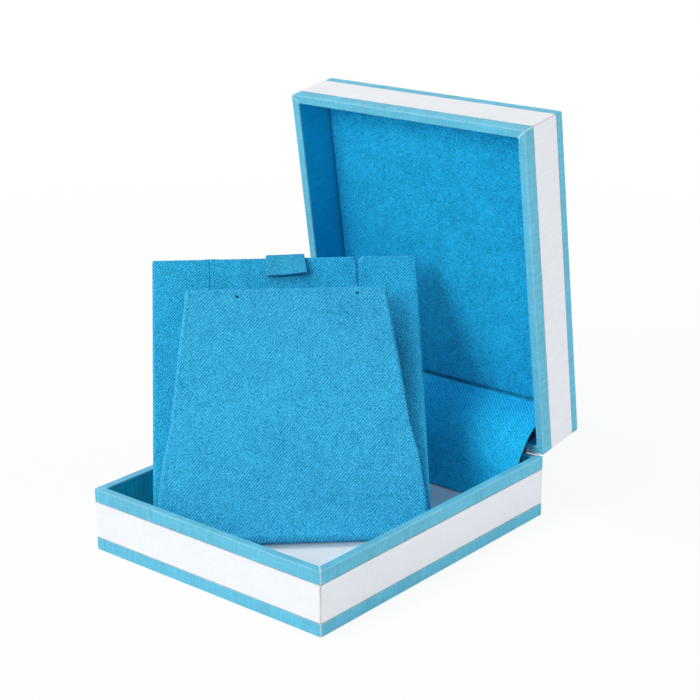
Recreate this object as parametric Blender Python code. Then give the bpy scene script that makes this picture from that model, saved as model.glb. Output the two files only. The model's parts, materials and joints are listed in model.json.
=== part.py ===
"""Hinged necklace box: a striped, paper-wrapped tray and lid on a sprung steel hinge.

A suede display card stands in the tray: a panel with chain slits and a pull tab, and a tapered
flap folded up in front of it. The origin is the middle of the tray's underside, +Z is up, +X runs
along the front wall and +Y points to the hinge. Lengths are in metres and angles in degrees.
"""
import math

import bmesh
import bpy
from mathutils import Matrix, Vector

# Case
CASE_WIDTH = 0.075
CASE_DEPTH = 0.0889
TRAY_HEIGHT = 0.0166
LID_HEIGHT = 0.0163
LID_OPEN_ANGLE = 81.7
RIM_GAP = 0.0003
CORNER_RADIUS = 0.0006
LEAST_RADIUS = 0.00015
CORNER_STEPS = 3

# Walls, from the outside in: paper, glue line, board, glue line, paper
PAPER = 0.00025
GLUE_LINE = 0.00025
WALL_BOARD = 0.00125
FLOOR_BOARD = 0.0015
FLOOR_CARD = 0.00105
PAPER_SEAM = 0.00015
PAPER_FOLD_RADIUS = 0.0004
UNDERSIDE_TURN_IN = 0.009

# Stripes of the wrap, measured down from a rim or up from a face
TRAY_RIM_STRIPE = 0.0035
TRAY_FOOT_STRIPE = 0.0034
LID_RIM_STRIPE = 0.0036
LID_TOP_STRIPE = 0.0027

# Lining of the lid
LINER_BOARD = 0.001
LINER_PAD_EDGE = 0.0013
LINER_PAD_CROWN = 0.0008
LINER_PAD_CELLS = (10, 12)
CROWN_POWER = 6

# Sprung hinge on the outer back edge of the two rims
PIN_RADIUS = 0.0003
PIN_CLEARANCE = 0.0001
LEAF_THICKNESS = 0.00035
LEAF_END_GAP = 0.0044
LEAF_DROP = 0.0105
LEAF_BEND_RADIUS = 0.0005
KNUCKLE_COUNT = 9
KNUCKLE_GAP = 0.00025
KNUCKLE_WRAP = 285.0
KNUCKLE_STEPS = 14
HINGE_CLEARANCE = 0.00025
END_WALL = 0.0011
PIN_END_PLAY = 0.0003
RIVET_COUNT = 4
RIVET_PITCH_SHARE = 0.25
RIVET_DROP = 0.0062
RIVET_SHANK_RADIUS = 0.0007
RIVET_HEAD_RADIUS = 0.0013
RIVET_HEAD_HEIGHT = 0.0005
RIVET_FIT = 0.00015
RIVET_SIDES = 12
SPRING_THICKNESS = 0.0003
SPRING_WIDTH = 0.007
SPRING_PLACE_SHARE = 0.25
SPRING_REACH = 0.0096
SPRING_ARCH = 0.0069
SPRING_LIFT = 0.0016
SPRING_STEPS = 14

# Suede strip that hides the hinge
COVER_THICKNESS = 0.0005
COVER_TRAY_STANDOFF = 0.00695
COVER_LID_STANDOFF = 0.0077
COVER_BEND_RISE = 0.0006
COVER_LID_BEND = 0.0004
COVER_TRAY_RADIUS = 0.005
COVER_LID_RADIUS = 0.0022
COVER_SIDE_CLEARANCE = 0.0003
COVER_SHORT_SIDE = 0.0013
COVER_BEND_STEPS = 5

# Display card: panel at the back, flap in front, one fold along the bottom
CARD_SIDE_CLEARANCE = 0.00045
CARD_HEIGHT = 0.0765
CARD_YAW = 43.4
CARD_LEAN = 38.0
CARD_FOOT_X = 0.0034
CARD_CORNER_SETBACK = 0.0026893
CARD_REST_GAP = 0.0003
CARD_CORNER = 0.0009
SUEDE_ROUND = 0.0005
CARD_ROUND_STEPS = 2
SUEDE = 0.0004
SUEDE_GAP = 0.00025
PANEL_BOARD = 0.0011
FLAP_BOARD = 0.0008
FOLD_GAP = 0.0002
FOLD_RISE = 0.0012
FOLD_STEPS = 12
FOLD_JOINT = 0.00025
ROLL_EDGE = 0.0002
FLAP_START = 0.0011
FLAP_LENGTH = 0.0645
FLAP_STANDOFF = 5.0
FLAP_SIDE_STEP = 0.00035
FLAP_OUTLINE_SHARES = ((0.0, 1.0), (0.12, 0.972), (0.29, 0.935), (0.43, 0.877), (0.66, 0.828), (1.0, 0.752))
SLIT_DEPTH = 0.0085
SLIT_PLACES_AND_WIDTHS = ((-0.0197, 0.0003), (0.019, 0.0008))
POST_HOLE_RADIUS = 0.00045
POST_HOLE_SIDES = 10
POST_HOLES = ((-0.0126, 0.0618), (0.0183, 0.0622))
TAB_WIDTH = 0.01
TAB_THICKNESS = 0.0005
TAB_FRONT = 0.0049
TAB_BACK = 0.008
TAB_FLARE = 0.0004
TAB_FOLD_RADIUS = 0.0007

# Lifting the card out turns it about a line before the box, at this distance and height from the fold
LIFT_REACH = 0.106
LIFT_RISE = -0.0045

OVERRUN = 0.001

WALL = PAPER + GLUE_LINE + WALL_BOARD + GLUE_LINE + PAPER
RIM_START = RIM_GAP / 2
SKIN = PAPER + GLUE_LINE
HINGE_Y = CASE_DEPTH / 2
HINGE_Z = TRAY_HEIGHT
LEAF_LENGTH = CASE_WIDTH - 2 * END_WALL - 2 * LEAF_END_GAP
RIVET_PITCH = LEAF_LENGTH * RIVET_PITCH_SHARE
SPRING_PLACE = LEAF_LENGTH * SPRING_PLACE_SHARE
KNUCKLE_BORE = PIN_RADIUS + PIN_CLEARANCE
KNUCKLE_RADIUS = KNUCKLE_BORE + LEAF_THICKNESS
HINGE_REBATE = KNUCKLE_RADIUS + HINGE_CLEARANCE
LEAF_FACE = SKIN + WALL_BOARD + HINGE_CLEARANCE
TRAY_FLOOR = SKIN + FLOOR_BOARD + GLUE_LINE + FLOOR_CARD
PANEL_THICKNESS = 2 * SUEDE + 2 * SUEDE_GAP + PANEL_BOARD
FLAP_THICKNESS = 2 * SUEDE + 2 * SUEDE_GAP + FLAP_BOARD
FOLD_WIDTH = PANEL_THICKNESS + FOLD_GAP + FLAP_THICKNESS
PANEL_START = FOLD_RISE + FOLD_JOINT
CARD_WIDTH = CASE_WIDTH - 2 * WALL - 2 * CARD_SIDE_CLEARANCE
CARD_CORNER_REACH = CARD_WIDTH / 2 * math.sin(math.radians(CARD_YAW))
CARD_FOOT_Y = WALL + CARD_CORNER_SETBACK + CARD_CORNER_REACH - CASE_DEPTH / 2
FLAP_FOOT_WIDTH = CARD_WIDTH - 2 * FLAP_SIDE_STEP

ALONG_X = Matrix(((0, 0, 1), (1, 0, 0), (0, 1, 0)))
UPRIGHT = Matrix.Identity(3)

# Colours: linear base colour, roughness, metallic
CYAN_PAPER = ((0.12, 0.44, 0.6), 0.55, 0.0)
WHITE_PAPER = ((0.86, 0.88, 0.92), 0.6, 0.0)
GREY_BOARD = ((0.42, 0.4, 0.36), 0.85, 0.0)
WHITE_CARD = ((0.8, 0.82, 0.86), 0.7, 0.0)
BLUE_SUEDE = ((0.01, 0.24, 0.52), 0.95, 0.0)
STEEL = ((0.6, 0.6, 0.62), 0.3, 1.0)
SPRING_STEEL = ((0.35, 0.36, 0.4), 0.35, 1.0)


def rounded(points, radii, steps, closed=True):
    """Return the outline with each corner turned by its own radius; zero keeps it sharp."""
    result = []
    last = len(points) - 1
    for index, (point, radius) in enumerate(zip(points, radii)):
        here = Vector(point)
        if not radius or (not closed and index in (0, last)):
            result.append(here)
            continue
        before = (Vector(points[index - 1]) - here).normalized()
        after = (Vector(points[(index + 1) % len(points)]) - here).normalized()
        half = before.angle(after) / 2
        centre = here + (before + after).normalized() * (radius / math.sin(half))
        start = here + before * (radius / math.tan(half)) - centre
        finish = here + after * (radius / math.tan(half)) - centre
        first = math.atan2(start.y, start.x)
        turn = (math.atan2(finish.y, finish.x) - first + math.pi) % math.tau - math.pi
        for step in range(steps + 1):
            angle = first + turn * step / steps
            result.append(centre + radius * Vector((math.cos(angle), math.sin(angle))))
    return result


def stroke(path, thickness):
    """Return the closed outline of a strip of even thickness laid along a path."""
    left, right = [], []
    for index, point in enumerate(path):
        here = Vector(point)
        arriving = here - Vector(path[index - 1]) if index else Vector(path[1]) - here
        leaving = Vector(path[index + 1]) - here if index < len(path) - 1 else arriving
        arriving.normalize()
        leaving.normalize()
        middle = (arriving + leaving).normalized()
        side = Vector((-middle.y, middle.x)) * (thickness / 2 / middle.dot(arriving))
        left.append(here + side)
        right.append(here - side)
    return left + right[::-1]


def circle(radius, sides, centre=(0, 0)):
    """Return the corners of a regular polygon on a circle."""
    angles = [math.tau * side / sides for side in range(sides)]
    return [Vector(centre) + radius * Vector((math.cos(angle), math.sin(angle))) for angle in angles]


def box_outline(low, high):
    """Return the corners of an upright rectangle."""
    return [(low[0], low[1]), (high[0], low[1]), (high[0], high[1]), (low[0], high[1])]


def add_prism(mesh, outline, low, high, axes):
    """Draw an outline out along the third axis, from low to high."""
    ends = []
    for depth in (low, high):
        ends.append([mesh.verts.new(axes @ Vector((point[0], point[1], depth))) for point in outline])
    mesh.faces.new(ends[0])
    mesh.faces.new(ends[1])
    add_band(mesh, ends[0], ends[1])


def add_band(mesh, first, second):
    """Join two closed loops of vertices with four-sided faces."""
    for index in range(len(first)):
        following = (index + 1) % len(first)
        mesh.faces.new((first[index], first[following], second[following], second[index]))


def case_loop(inset, height):
    """Return the case's outline in plan, moved in by an inset, at a height."""
    radius = max(CORNER_RADIUS - inset, LEAST_RADIUS)
    half_width = CASE_WIDTH / 2 - inset
    half_depth = CASE_DEPTH / 2 - inset
    corners = box_outline((-half_width, -half_depth), (half_width, half_depth))
    outline = rounded(corners, [radius] * len(corners), CORNER_STEPS)
    return [Vector((point.x, point.y, height)) for point in outline]


def add_swept(mesh, profile, side, closed):
    """Sweep a profile of insets and depths from the rim plane round the case's outline.

    side is 1 for the lid, above the rim plane, and -1 for the tray, below it. An open profile
    starts and ends in a flat cap.
    """
    loops = []
    for inset, depth in profile:
        loops.append([mesh.verts.new(point) for point in case_loop(inset, HINGE_Z + side * depth)])
    for first, second in zip(loops, loops[1:]):
        add_band(mesh, first, second)
    if closed:
        add_band(mesh, loops[-1], loops[0])
    else:
        mesh.faces.new(loops[0])
        mesh.faces.new(loops[-1])


def add_turned(mesh, profile, centre, axes, sides):
    """Turn a profile of radii and heights about the third axis; its ends are on the axis."""
    rings = []
    for radius, height in profile[1:-1]:
        ring = [Vector((*point, height)) for point in circle(radius, sides)]
        rings.append([mesh.verts.new(centre + axes @ point) for point in ring])
    tips = [mesh.verts.new(centre + axes @ Vector((0, 0, profile[end][1]))) for end in (0, -1)]
    for first, second in zip(rings, rings[1:]):
        add_band(mesh, first, second)
    for tip, ring in zip(tips, (rings[0], rings[-1])):
        for index in range(sides):
            mesh.faces.new((tip, ring[index], ring[(index + 1) % sides]))


def finish_object(name, mesh, finish, pivot=None, smooth=True):
    """Turn a bmesh into a named object; with a pivot its mesh is kept in the pivot's frame."""
    bmesh.ops.recalc_face_normals(mesh, faces=mesh.faces)
    data = bpy.data.meshes.new(name)
    mesh.to_mesh(data)
    mesh.free()
    if smooth:
        data.shade_smooth()
        data.set_sharp_from_angle(angle=math.radians(35))
    obj = bpy.data.objects.new(name, data)
    bpy.context.scene.collection.objects.link(obj)
    if pivot is not None:
        obj.parent = pivot
    colour, roughness, metallic = finish
    material = bpy.data.materials.new(name)
    material.use_nodes = True
    shader = material.node_tree.nodes["Principled BSDF"]
    shader.inputs["Base Color"].default_value = (*colour, 1)
    shader.inputs["Roughness"].default_value = roughness
    shader.inputs["Metallic"].default_value = metallic
    data.materials.append(material)
    return obj


def make_cutter(name, mesh, pivot=None):
    """Turn a bmesh into a guide that only cuts others."""
    bmesh.ops.recalc_face_normals(mesh, faces=mesh.faces)
    data = bpy.data.meshes.new(name)
    mesh.to_mesh(data)
    mesh.free()
    cutter = bpy.data.objects.new(name, data)
    bpy.context.scene.collection.objects.link(cutter)
    cutter.parent = pivot
    cutter.hide_render = True
    cutter.display_type = "WIRE"
    return cutter


def cut(obj, cutter):
    """Take a cutter's shape out of an object."""
    modifier = obj.modifiers.new(cutter.name, "BOOLEAN")
    modifier.operation = "DIFFERENCE"
    modifier.solver = "EXACT"
    modifier.object = cutter


def soften(obj, width):
    """Round an object's edges."""
    modifier = obj.modifiers.new("rounded_edges", "BEVEL")
    modifier.width = width
    modifier.segments = CARD_ROUND_STEPS
    modifier.limit_method = "ANGLE"
    modifier.angle_limit = math.radians(40)


def add_pivot(name, matrix, parent=None):
    """Add an empty on a joint's axis."""
    pivot = bpy.data.objects.new(name, None)
    bpy.context.scene.collection.objects.link(pivot)
    pivot.parent = parent
    pivot.matrix_basis = matrix
    return pivot


def settle(mesh, pivot_place):
    """Move a bmesh from case coordinates to those of a pivot at the given place."""
    bmesh.ops.translate(mesh, verts=mesh.verts, vec=-Vector(pivot_place))


HINGE_PLACE = Vector((0, HINGE_Y, HINGE_Z))


class CaseHalf:
    """The tray or the lid: its side of the rim plane, its height and its place in the scene."""

    def __init__(self, name, side, height, rim_stripe, face_stripe, pivot):
        self.name = name
        self.side = side
        self.height = height
        self.rim_stripe = rim_stripe
        self.face_stripe = face_stripe
        self.pivot = pivot
        self.board_face = height - SKIN
        self.board_floor = self.board_face - FLOOR_BOARD

    def finish(self, piece, mesh, colour, smooth=True):
        """Name a piece of this half and hang it on its pivot."""
        if self.pivot is not None:
            settle(mesh, HINGE_PLACE)
        return finish_object(f"{self.name}_{piece}", mesh, colour, self.pivot, smooth)

    def cutter(self, piece, mesh):
        """Name a cutter of this half and hang it on its pivot."""
        if self.pivot is not None:
            settle(mesh, HINGE_PLACE)
        return make_cutter(f"{self.name}_{piece}", mesh, self.pivot)

    def level(self, depth):
        """Return the height in the shut case of a depth from the rim plane."""
        return HINGE_Z + self.side * depth


def make_core(half, rebate, rivet_holes):
    """Make the rigid grey board shell that the paper is wrapped on."""
    mesh = bmesh.new()
    outside = SKIN
    inside = SKIN + WALL_BOARD
    top = RIM_START + SKIN
    profile = ((outside, half.board_face), (outside, top), (inside, top), (inside, half.board_floor))
    add_swept(mesh, profile, half.side, closed=False)
    core = half.finish("core", mesh, GREY_BOARD)
    cut(core, rebate)
    cut(core, rivet_holes)
    return core


def make_rim_paper(half, rebate):
    """Make the cyan strip folded over the rim and down the inside of the walls."""
    lower = half.rim_stripe - PAPER_SEAM / 2
    inner_end = half.board_floor - GLUE_LINE
    under = RIM_START + PAPER
    corners = (
        (0, lower),
        (0, RIM_START),
        (WALL, RIM_START),
        (WALL, inner_end),
        (WALL - PAPER, inner_end),
        (WALL - PAPER, under),
        (PAPER, under),
        (PAPER, lower),
    )
    folds = (0, PAPER_FOLD_RADIUS, PAPER_FOLD_RADIUS, 0, 0, PAPER_SEAM, PAPER_SEAM, 0)
    mesh = bmesh.new()
    add_swept(mesh, rounded(corners, folds, CORNER_STEPS), half.side, closed=True)
    paper = half.finish("rim_paper", mesh, CYAN_PAPER)
    cut(paper, rebate)

    inner = CASE_WIDTH / 2 - WALL - COVER_SIDE_CLEARANCE
    opening = box_outline((-inner, HINGE_Y - WALL - OVERRUN), (inner, HINGE_Y - LEAF_FACE + GLUE_LINE / 2))
    mesh = bmesh.new()
    add_prism(mesh, opening, *sorted((half.level(-OVERRUN), half.level(half.height))), UPRIGHT)
    cut(paper, half.cutter("turn_in_gap", mesh))
    return paper


def make_band_paper(half):
    """Make the white strip round the middle of the walls."""
    upper = half.rim_stripe + PAPER_SEAM / 2
    lower = half.height - half.face_stripe - PAPER_SEAM / 2
    mesh = bmesh.new()
    add_swept(mesh, box_outline((0, upper), (PAPER, lower)), half.side, closed=True)
    return half.finish("band_paper", mesh, WHITE_PAPER)


def make_foot_paper(half):
    """Make the cyan strip at the tray's foot, turned in under the floor."""
    start = half.height - half.face_stripe + PAPER_SEAM / 2
    inner = half.height - PAPER
    corners = (
        (0, start),
        (0, half.height),
        (UNDERSIDE_TURN_IN, half.height),
        (UNDERSIDE_TURN_IN, inner),
        (PAPER, inner),
        (PAPER, start),
    )
    mesh = bmesh.new()
    folds = (0, PAPER, 0, 0, 0, 0)
    add_swept(mesh, rounded(corners, folds, CORNER_STEPS), half.side, closed=True)
    return half.finish("foot_paper", mesh, CYAN_PAPER)


def make_base_paper(half):
    """Make the white sheet that closes the underside between the turned-in edges."""
    inset = UNDERSIDE_TURN_IN + PAPER_SEAM
    mesh = bmesh.new()
    profile = ((inset, half.height), (inset, half.height - PAPER))
    add_swept(mesh, profile, half.side, closed=False)
    return half.finish("base_paper", mesh, WHITE_PAPER)


def make_floor_card(half):
    """Make the white card laid on the tray's floor."""
    inset = WALL + GLUE_LINE
    upper = half.board_floor - GLUE_LINE
    mesh = bmesh.new()
    add_swept(mesh, ((inset, upper), (inset, upper - FLOOR_CARD)), half.side, closed=False)
    return half.finish("floor_card", mesh, WHITE_CARD)


def make_top_paper(half):
    """Make the cyan sheet over the lid's top panel, turned down round its edges."""
    start = half.height - half.face_stripe + PAPER_SEAM / 2
    inner = half.height - PAPER
    corners = ((PAPER, inner), (PAPER, start), (0, start), (0, half.height), (WALL, half.height))
    profile = rounded(corners, (0, 0, 0, PAPER_FOLD_RADIUS, 0), CORNER_STEPS, closed=False)
    mesh = bmesh.new()
    add_swept(mesh, profile, half.side, closed=False)
    return half.finish("top_paper", mesh, CYAN_PAPER)


def make_liner(half):
    """Make the liner board inside the lid and the crowned suede pad on it."""
    inset = WALL + GLUE_LINE
    board_back = half.board_floor - GLUE_LINE
    mesh = bmesh.new()
    add_swept(mesh, ((inset, board_back), (inset, board_back - LINER_BOARD)), half.side, closed=False)
    half.finish("liner_board", mesh, GREY_BOARD)

    pad_back = board_back - LINER_BOARD - GLUE_LINE
    pad_edge = pad_back - LINER_PAD_EDGE
    half_width = CASE_WIDTH / 2 - inset
    half_depth = CASE_DEPTH / 2 - inset
    columns, rows = LINER_PAD_CELLS
    mesh = bmesh.new()
    layers = []
    for back in (True, False):
        layer = []
        for row in range(rows + 1):
            across = 2 * row / rows - 1
            line = []
            for column in range(columns + 1):
                along = 2 * column / columns - 1
                crown = (1 - abs(along) ** CROWN_POWER) * (1 - abs(across) ** CROWN_POWER)
                depth = pad_back if back else pad_edge - LINER_PAD_CROWN * crown
                line.append(mesh.verts.new((along * half_width, across * half_depth, half.level(depth))))
            layer.append(line)
        layers.append(layer)
    for layer in layers:
        for near, far in zip(layer, layer[1:]):
            for index in range(columns):
                mesh.faces.new((near[index], near[index + 1], far[index + 1], far[index]))
    rims = []
    for layer in layers:
        right = [line[-1] for line in layer[1:-1]]
        left = [line[0] for line in layer[1:-1]]
        rims.append(layer[0] + right + layer[-1][::-1] + left[::-1])
    add_band(mesh, rims[0], rims[1])
    return half.finish("liner_pad", mesh, BLUE_SUEDE)


def hinge_end():
    """Return how far the pin's rebate runs from the middle of the case."""
    return CASE_WIDTH / 2 - END_WALL


def make_rebate(half):
    """Make the cutter for the step in the back wall that the hinge lies in."""
    low = HINGE_Y - WALL - OVERRUN
    outline = box_outline((low, half.level(-OVERRUN)), (HINGE_Y + OVERRUN, half.level(HINGE_REBATE)))
    mesh = bmesh.new()
    add_prism(mesh, outline, -hinge_end(), hinge_end(), ALONG_X)
    return half.cutter("hinge_rebate", mesh)


def rivet_places():
    """Return the rivets' places along the hinge."""
    middle = (RIVET_COUNT - 1) / 2
    return [(index - middle) * RIVET_PITCH for index in range(RIVET_COUNT)]


def rivet_axes():
    """Return axes whose third points from the back wall into the case."""
    return Matrix(((1, 0, 0), (0, 0, -1), (0, 1, 0)))


def make_rivet_holes(half):
    """Make the cutter for the rivet holes through the back wall and the leaf."""
    mesh = bmesh.new()
    radius = RIVET_SHANK_RADIUS + RIVET_FIT
    length = LEAF_FACE + LEAF_THICKNESS + OVERRUN
    for place in rivet_places():
        centre = Vector((place, HINGE_Y, half.level(RIVET_DROP)))
        profile = ((0, -OVERRUN), (radius, -OVERRUN), (radius, length), (0, length))
        add_turned(mesh, profile, centre, rivet_axes(), RIVET_SIDES)
    return half.cutter("rivet_holes", mesh)


def make_rivets(half):
    """Make the round-headed rivets that hold a leaf to the back wall."""
    head = LEAF_FACE + LEAF_THICKNESS + RIVET_FIT
    tip = SKIN + RIVET_FIT
    crown = head + RIVET_HEAD_HEIGHT
    profile = (
        (0, tip),
        (RIVET_SHANK_RADIUS, tip),
        (RIVET_SHANK_RADIUS, head),
        (RIVET_HEAD_RADIUS, head),
        (RIVET_HEAD_RADIUS, head + RIVET_HEAD_HEIGHT / 3),
        (RIVET_HEAD_RADIUS / 2, crown - RIVET_HEAD_HEIGHT / 8),
        (0, crown),
    )
    for number, place in enumerate(rivet_places(), 1):
        centre = Vector((place, HINGE_Y, half.level(RIVET_DROP)))
        mesh = bmesh.new()
        add_turned(mesh, profile, centre, rivet_axes(), RIVET_SIDES)
        half.finish(f"hinge_rivet_{number}", mesh, STEEL)


def knuckle_spans(own):
    """Return the stretches of the pin that this leaf's knuckles take, or those of the other leaf."""
    pitch = LEAF_LENGTH / KNUCKLE_COUNT
    spans = []
    for index in range(KNUCKLE_COUNT):
        if (index % 2 == 0) == own:
            spans.append((index * pitch - LEAF_LENGTH / 2, (index + 1) * pitch - LEAF_LENGTH / 2))
    return spans


def make_leaf(half, even, rivet_holes):
    """Make one leaf: a plate on the back wall, bent over its edge and rolled round the pin."""
    centre = LEAF_THICKNESS / 2
    plate = LEAF_FACE + centre
    arm = KNUCKLE_RADIUS - centre
    bends = ((-plate, LEAF_DROP), (-plate, arm), (0, arm))
    path = rounded(bends, (0, LEAF_BEND_RADIUS, 0), CORNER_STEPS, closed=False)
    for step in range(1, KNUCKLE_STEPS + 1):
        angle = math.radians(90 - KNUCKLE_WRAP * step / KNUCKLE_STEPS)
        path.append(arm * Vector((math.cos(angle), math.sin(angle))))
    outline = stroke(path, LEAF_THICKNESS)
    world = [(HINGE_Y + point.x, half.level(point.y)) for point in outline]
    mesh = bmesh.new()
    add_prism(mesh, world, -LEAF_LENGTH / 2, LEAF_LENGTH / 2, ALONG_X)
    leaf = half.finish("hinge_leaf", mesh, STEEL)

    mesh = bmesh.new()
    low = HINGE_Y - LEAF_FACE - LEAF_THICKNESS - OVERRUN
    high = HINGE_Y + KNUCKLE_RADIUS + OVERRUN
    drop = HINGE_REBATE + LEAF_BEND_RADIUS
    window = box_outline((low, half.level(-HINGE_REBATE - OVERRUN)), (high, half.level(drop)))
    for start, end in knuckle_spans(own=not even):
        start -= KNUCKLE_GAP if start > -LEAF_LENGTH / 2 else OVERRUN
        end += KNUCKLE_GAP if end < LEAF_LENGTH / 2 else OVERRUN
        add_prism(mesh, window, start, end, ALONG_X)
    cut(leaf, half.cutter("knuckle_gaps", mesh))
    cut(leaf, rivet_holes)
    return leaf


def make_pin():
    """Make the bright steel pin that the knuckles turn on."""
    mesh = bmesh.new()
    reach = hinge_end() - PIN_END_PLAY
    add_prism(mesh, circle(PIN_RADIUS, RIVET_SIDES, (HINGE_Y, HINGE_Z)), -reach, reach, ALONG_X)
    return finish_object("hinge_pin", mesh, STEEL)


def from_hinge(forward, up):
    """Return the place in the side view at offsets from the hinge axis."""
    return Vector((HINGE_Y + forward, HINGE_Z + up))


def from_open_lid(along, depth):
    """Return the place in the side view at a distance along the open lid and a depth into it."""
    turn = math.radians(LID_OPEN_ANGLE)
    forward = along * -math.cos(turn) + depth * math.sin(turn)
    up = along * math.sin(turn) + depth * math.cos(turn)
    return from_hinge(forward, up)


def make_springs():
    """Make the two bowed strips that snap the lid open and shut, as they stand when it is open."""
    foot = LEAF_FACE + LEAF_THICKNESS + HINGE_CLEARANCE + SPRING_THICKNESS
    controls = (
        from_hinge(-foot, -SPRING_REACH),
        from_hinge(-SPRING_ARCH, SPRING_LIFT),
        from_open_lid(SPRING_ARCH, -SPRING_LIFT),
        from_open_lid(foot, SPRING_REACH),
    )
    path = []
    for step in range(SPRING_STEPS + 1):
        t = step / SPRING_STEPS
        weights = ((1 - t) ** 3, 3 * t * (1 - t) ** 2, 3 * t * t * (1 - t), t ** 3)
        path.append(sum((weight * point for weight, point in zip(weights, controls)), Vector((0, 0))))
    outline = stroke(path, SPRING_THICKNESS)
    for name, place in (("hinge_spring_left", -SPRING_PLACE), ("hinge_spring_right", SPRING_PLACE)):
        mesh = bmesh.new()
        add_prism(mesh, outline, place - SPRING_WIDTH / 2, place + SPRING_WIDTH / 2, ALONG_X)
        finish_object(name, mesh, SPRING_STEEL)


def make_hinge_cover():
    """Make the suede strip from the tray's floor, over the hinge, to the lid's liner pad."""
    foot = TRAY_FLOOR + CARD_REST_GAP - HINGE_Z
    pad_edge = LID_HEIGHT - SKIN - FLOOR_BOARD - 2 * GLUE_LINE - LINER_BOARD - LINER_PAD_EDGE
    landing = pad_edge - LINER_PAD_CROWN - CARD_REST_GAP
    corners = (
        from_hinge(-COVER_TRAY_STANDOFF, foot),
        from_hinge(-COVER_TRAY_STANDOFF, -COVER_BEND_RISE),
        from_open_lid(COVER_LID_STANDOFF, COVER_LID_BEND),
        from_open_lid(COVER_LID_STANDOFF, landing),
    )
    path = rounded(corners, (0, COVER_TRAY_RADIUS, COVER_LID_RADIUS, 0), COVER_BEND_STEPS, closed=False)
    left = -CASE_WIDTH / 2 + WALL + COVER_SIDE_CLEARANCE
    right = CASE_WIDTH / 2 - WALL - COVER_SHORT_SIDE
    mesh = bmesh.new()
    add_prism(mesh, stroke(path, COVER_THICKNESS), left, right, ALONG_X)
    return finish_object("hinge_cover", mesh, BLUE_SUEDE)


def fold_centre():
    """Return the middle of the fold's round, across and up the card."""
    return Vector((FOLD_RISE, FOLD_WIDTH / 2))


def card_frame():
    """Return the frame of the leaning card: x across it, y up it and z out of its front.

    Its origin is the lower back edge of the fold's box, low enough for the fold's round to stand
    just clear of the tray's floor.
    """
    yaw = math.radians(CARD_YAW)
    lean = math.radians(CARD_LEAN)
    across = Vector((math.cos(yaw), math.sin(yaw), 0))
    ahead = Vector((math.sin(yaw), -math.cos(yaw), 0))
    up = Vector((0, 0, 1)) * math.cos(lean) - ahead * math.sin(lean)
    front = across.cross(up)
    centre = fold_centre()
    middle = centre.x * up.z + centre.y * front.z
    lowest = middle - math.hypot(FOLD_RISE * up.z, FOLD_WIDTH / 2 * front.z)
    foot = Vector((CARD_FOOT_X, CARD_FOOT_Y, TRAY_FLOOR + CARD_REST_GAP - lowest))
    frame = Matrix((across, up, front)).transposed().to_4x4()
    return Matrix.Translation(foot) @ frame


def roll_line():
    """Return the line that the card rolls forward on: just ahead of the fold's front edge."""
    return Vector((0, PANEL_START, FOLD_WIDTH + ROLL_EDGE))


def flap_line():
    """Return the line that the flap folds on, in the card's frame."""
    return Vector((0, FOLD_RISE, PANEL_THICKNESS + FOLD_GAP + FLAP_THICKNESS / 2))


def make_card_pivots():
    """Add the empties that the card, its fold and its flap turn on."""
    card = card_frame()
    axes = card.to_3x3()
    roll = card @ roll_line()
    ahead = Vector((axes.col[0].y, -axes.col[0].x, 0))
    lift = roll + ahead * LIFT_REACH + Vector((0, 0, LIFT_RISE))
    lift_frame = Matrix.Translation(lift) @ axes.to_4x4()
    card_at_roll = Matrix.Translation(roll) @ axes.to_4x4()
    lift_pivot = add_pivot("card_lift_pivot", lift_frame)
    card_pivot = add_pivot("card_roll_pivot", lift_frame.inverted() @ card_at_roll, lift_pivot)
    turned_flap = Matrix.Translation(flap_line() - roll_line()) @ Matrix.Rotation(
        math.radians(FLAP_STANDOFF), 4, "X")
    flap_pivot = add_pivot("card_flap_pivot", turned_flap, card_pivot)
    fold_shift = lift_frame.inverted() @ card
    return fold_shift, lift_pivot, card_pivot, flap_pivot


def panel_outline(inset, bottom):
    """Return the panel's outline, moved in by an inset at its sides and top."""
    half_width = CARD_WIDTH / 2 - inset
    corners = box_outline((-half_width, bottom), (half_width, CARD_HEIGHT - inset))
    corner = max(CARD_CORNER - inset, LEAST_RADIUS)
    return rounded(corners, (0, 0, corner, corner), CORNER_STEPS)


def flap_outline(inset, bottom):
    """Return the tapered flap's outline, moved in by an inset at its sides and top."""
    top = FLAP_LENGTH - inset
    side = []
    for height_share, width_share in FLAP_OUTLINE_SHARES:
        height = bottom + (top - bottom) * height_share
        side.append((FLAP_FOOT_WIDTH / 2 * width_share - inset, height))
    corners = side + [(-x, height) for x, height in reversed(side)]
    corner = max(CARD_CORNER - inset, LEAST_RADIUS)
    radii = [corner if height == top else 0 for x, height in corners]
    return rounded(corners, radii, CORNER_STEPS)


def make_slits(pivot):
    """Make the cutter for the chain slits in the panel's top edge."""
    mesh = bmesh.new()
    for place, width in SLIT_PLACES_AND_WIDTHS:
        low = (place - width / 2, CARD_HEIGHT - SLIT_DEPTH)
        high = (place + width / 2, CARD_HEIGHT + OVERRUN)
        add_prism(mesh, box_outline(low, high), -OVERRUN, PANEL_THICKNESS + OVERRUN, UPRIGHT)
    settle(mesh, roll_line())
    return make_cutter("chain_slits", mesh, pivot)


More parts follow.
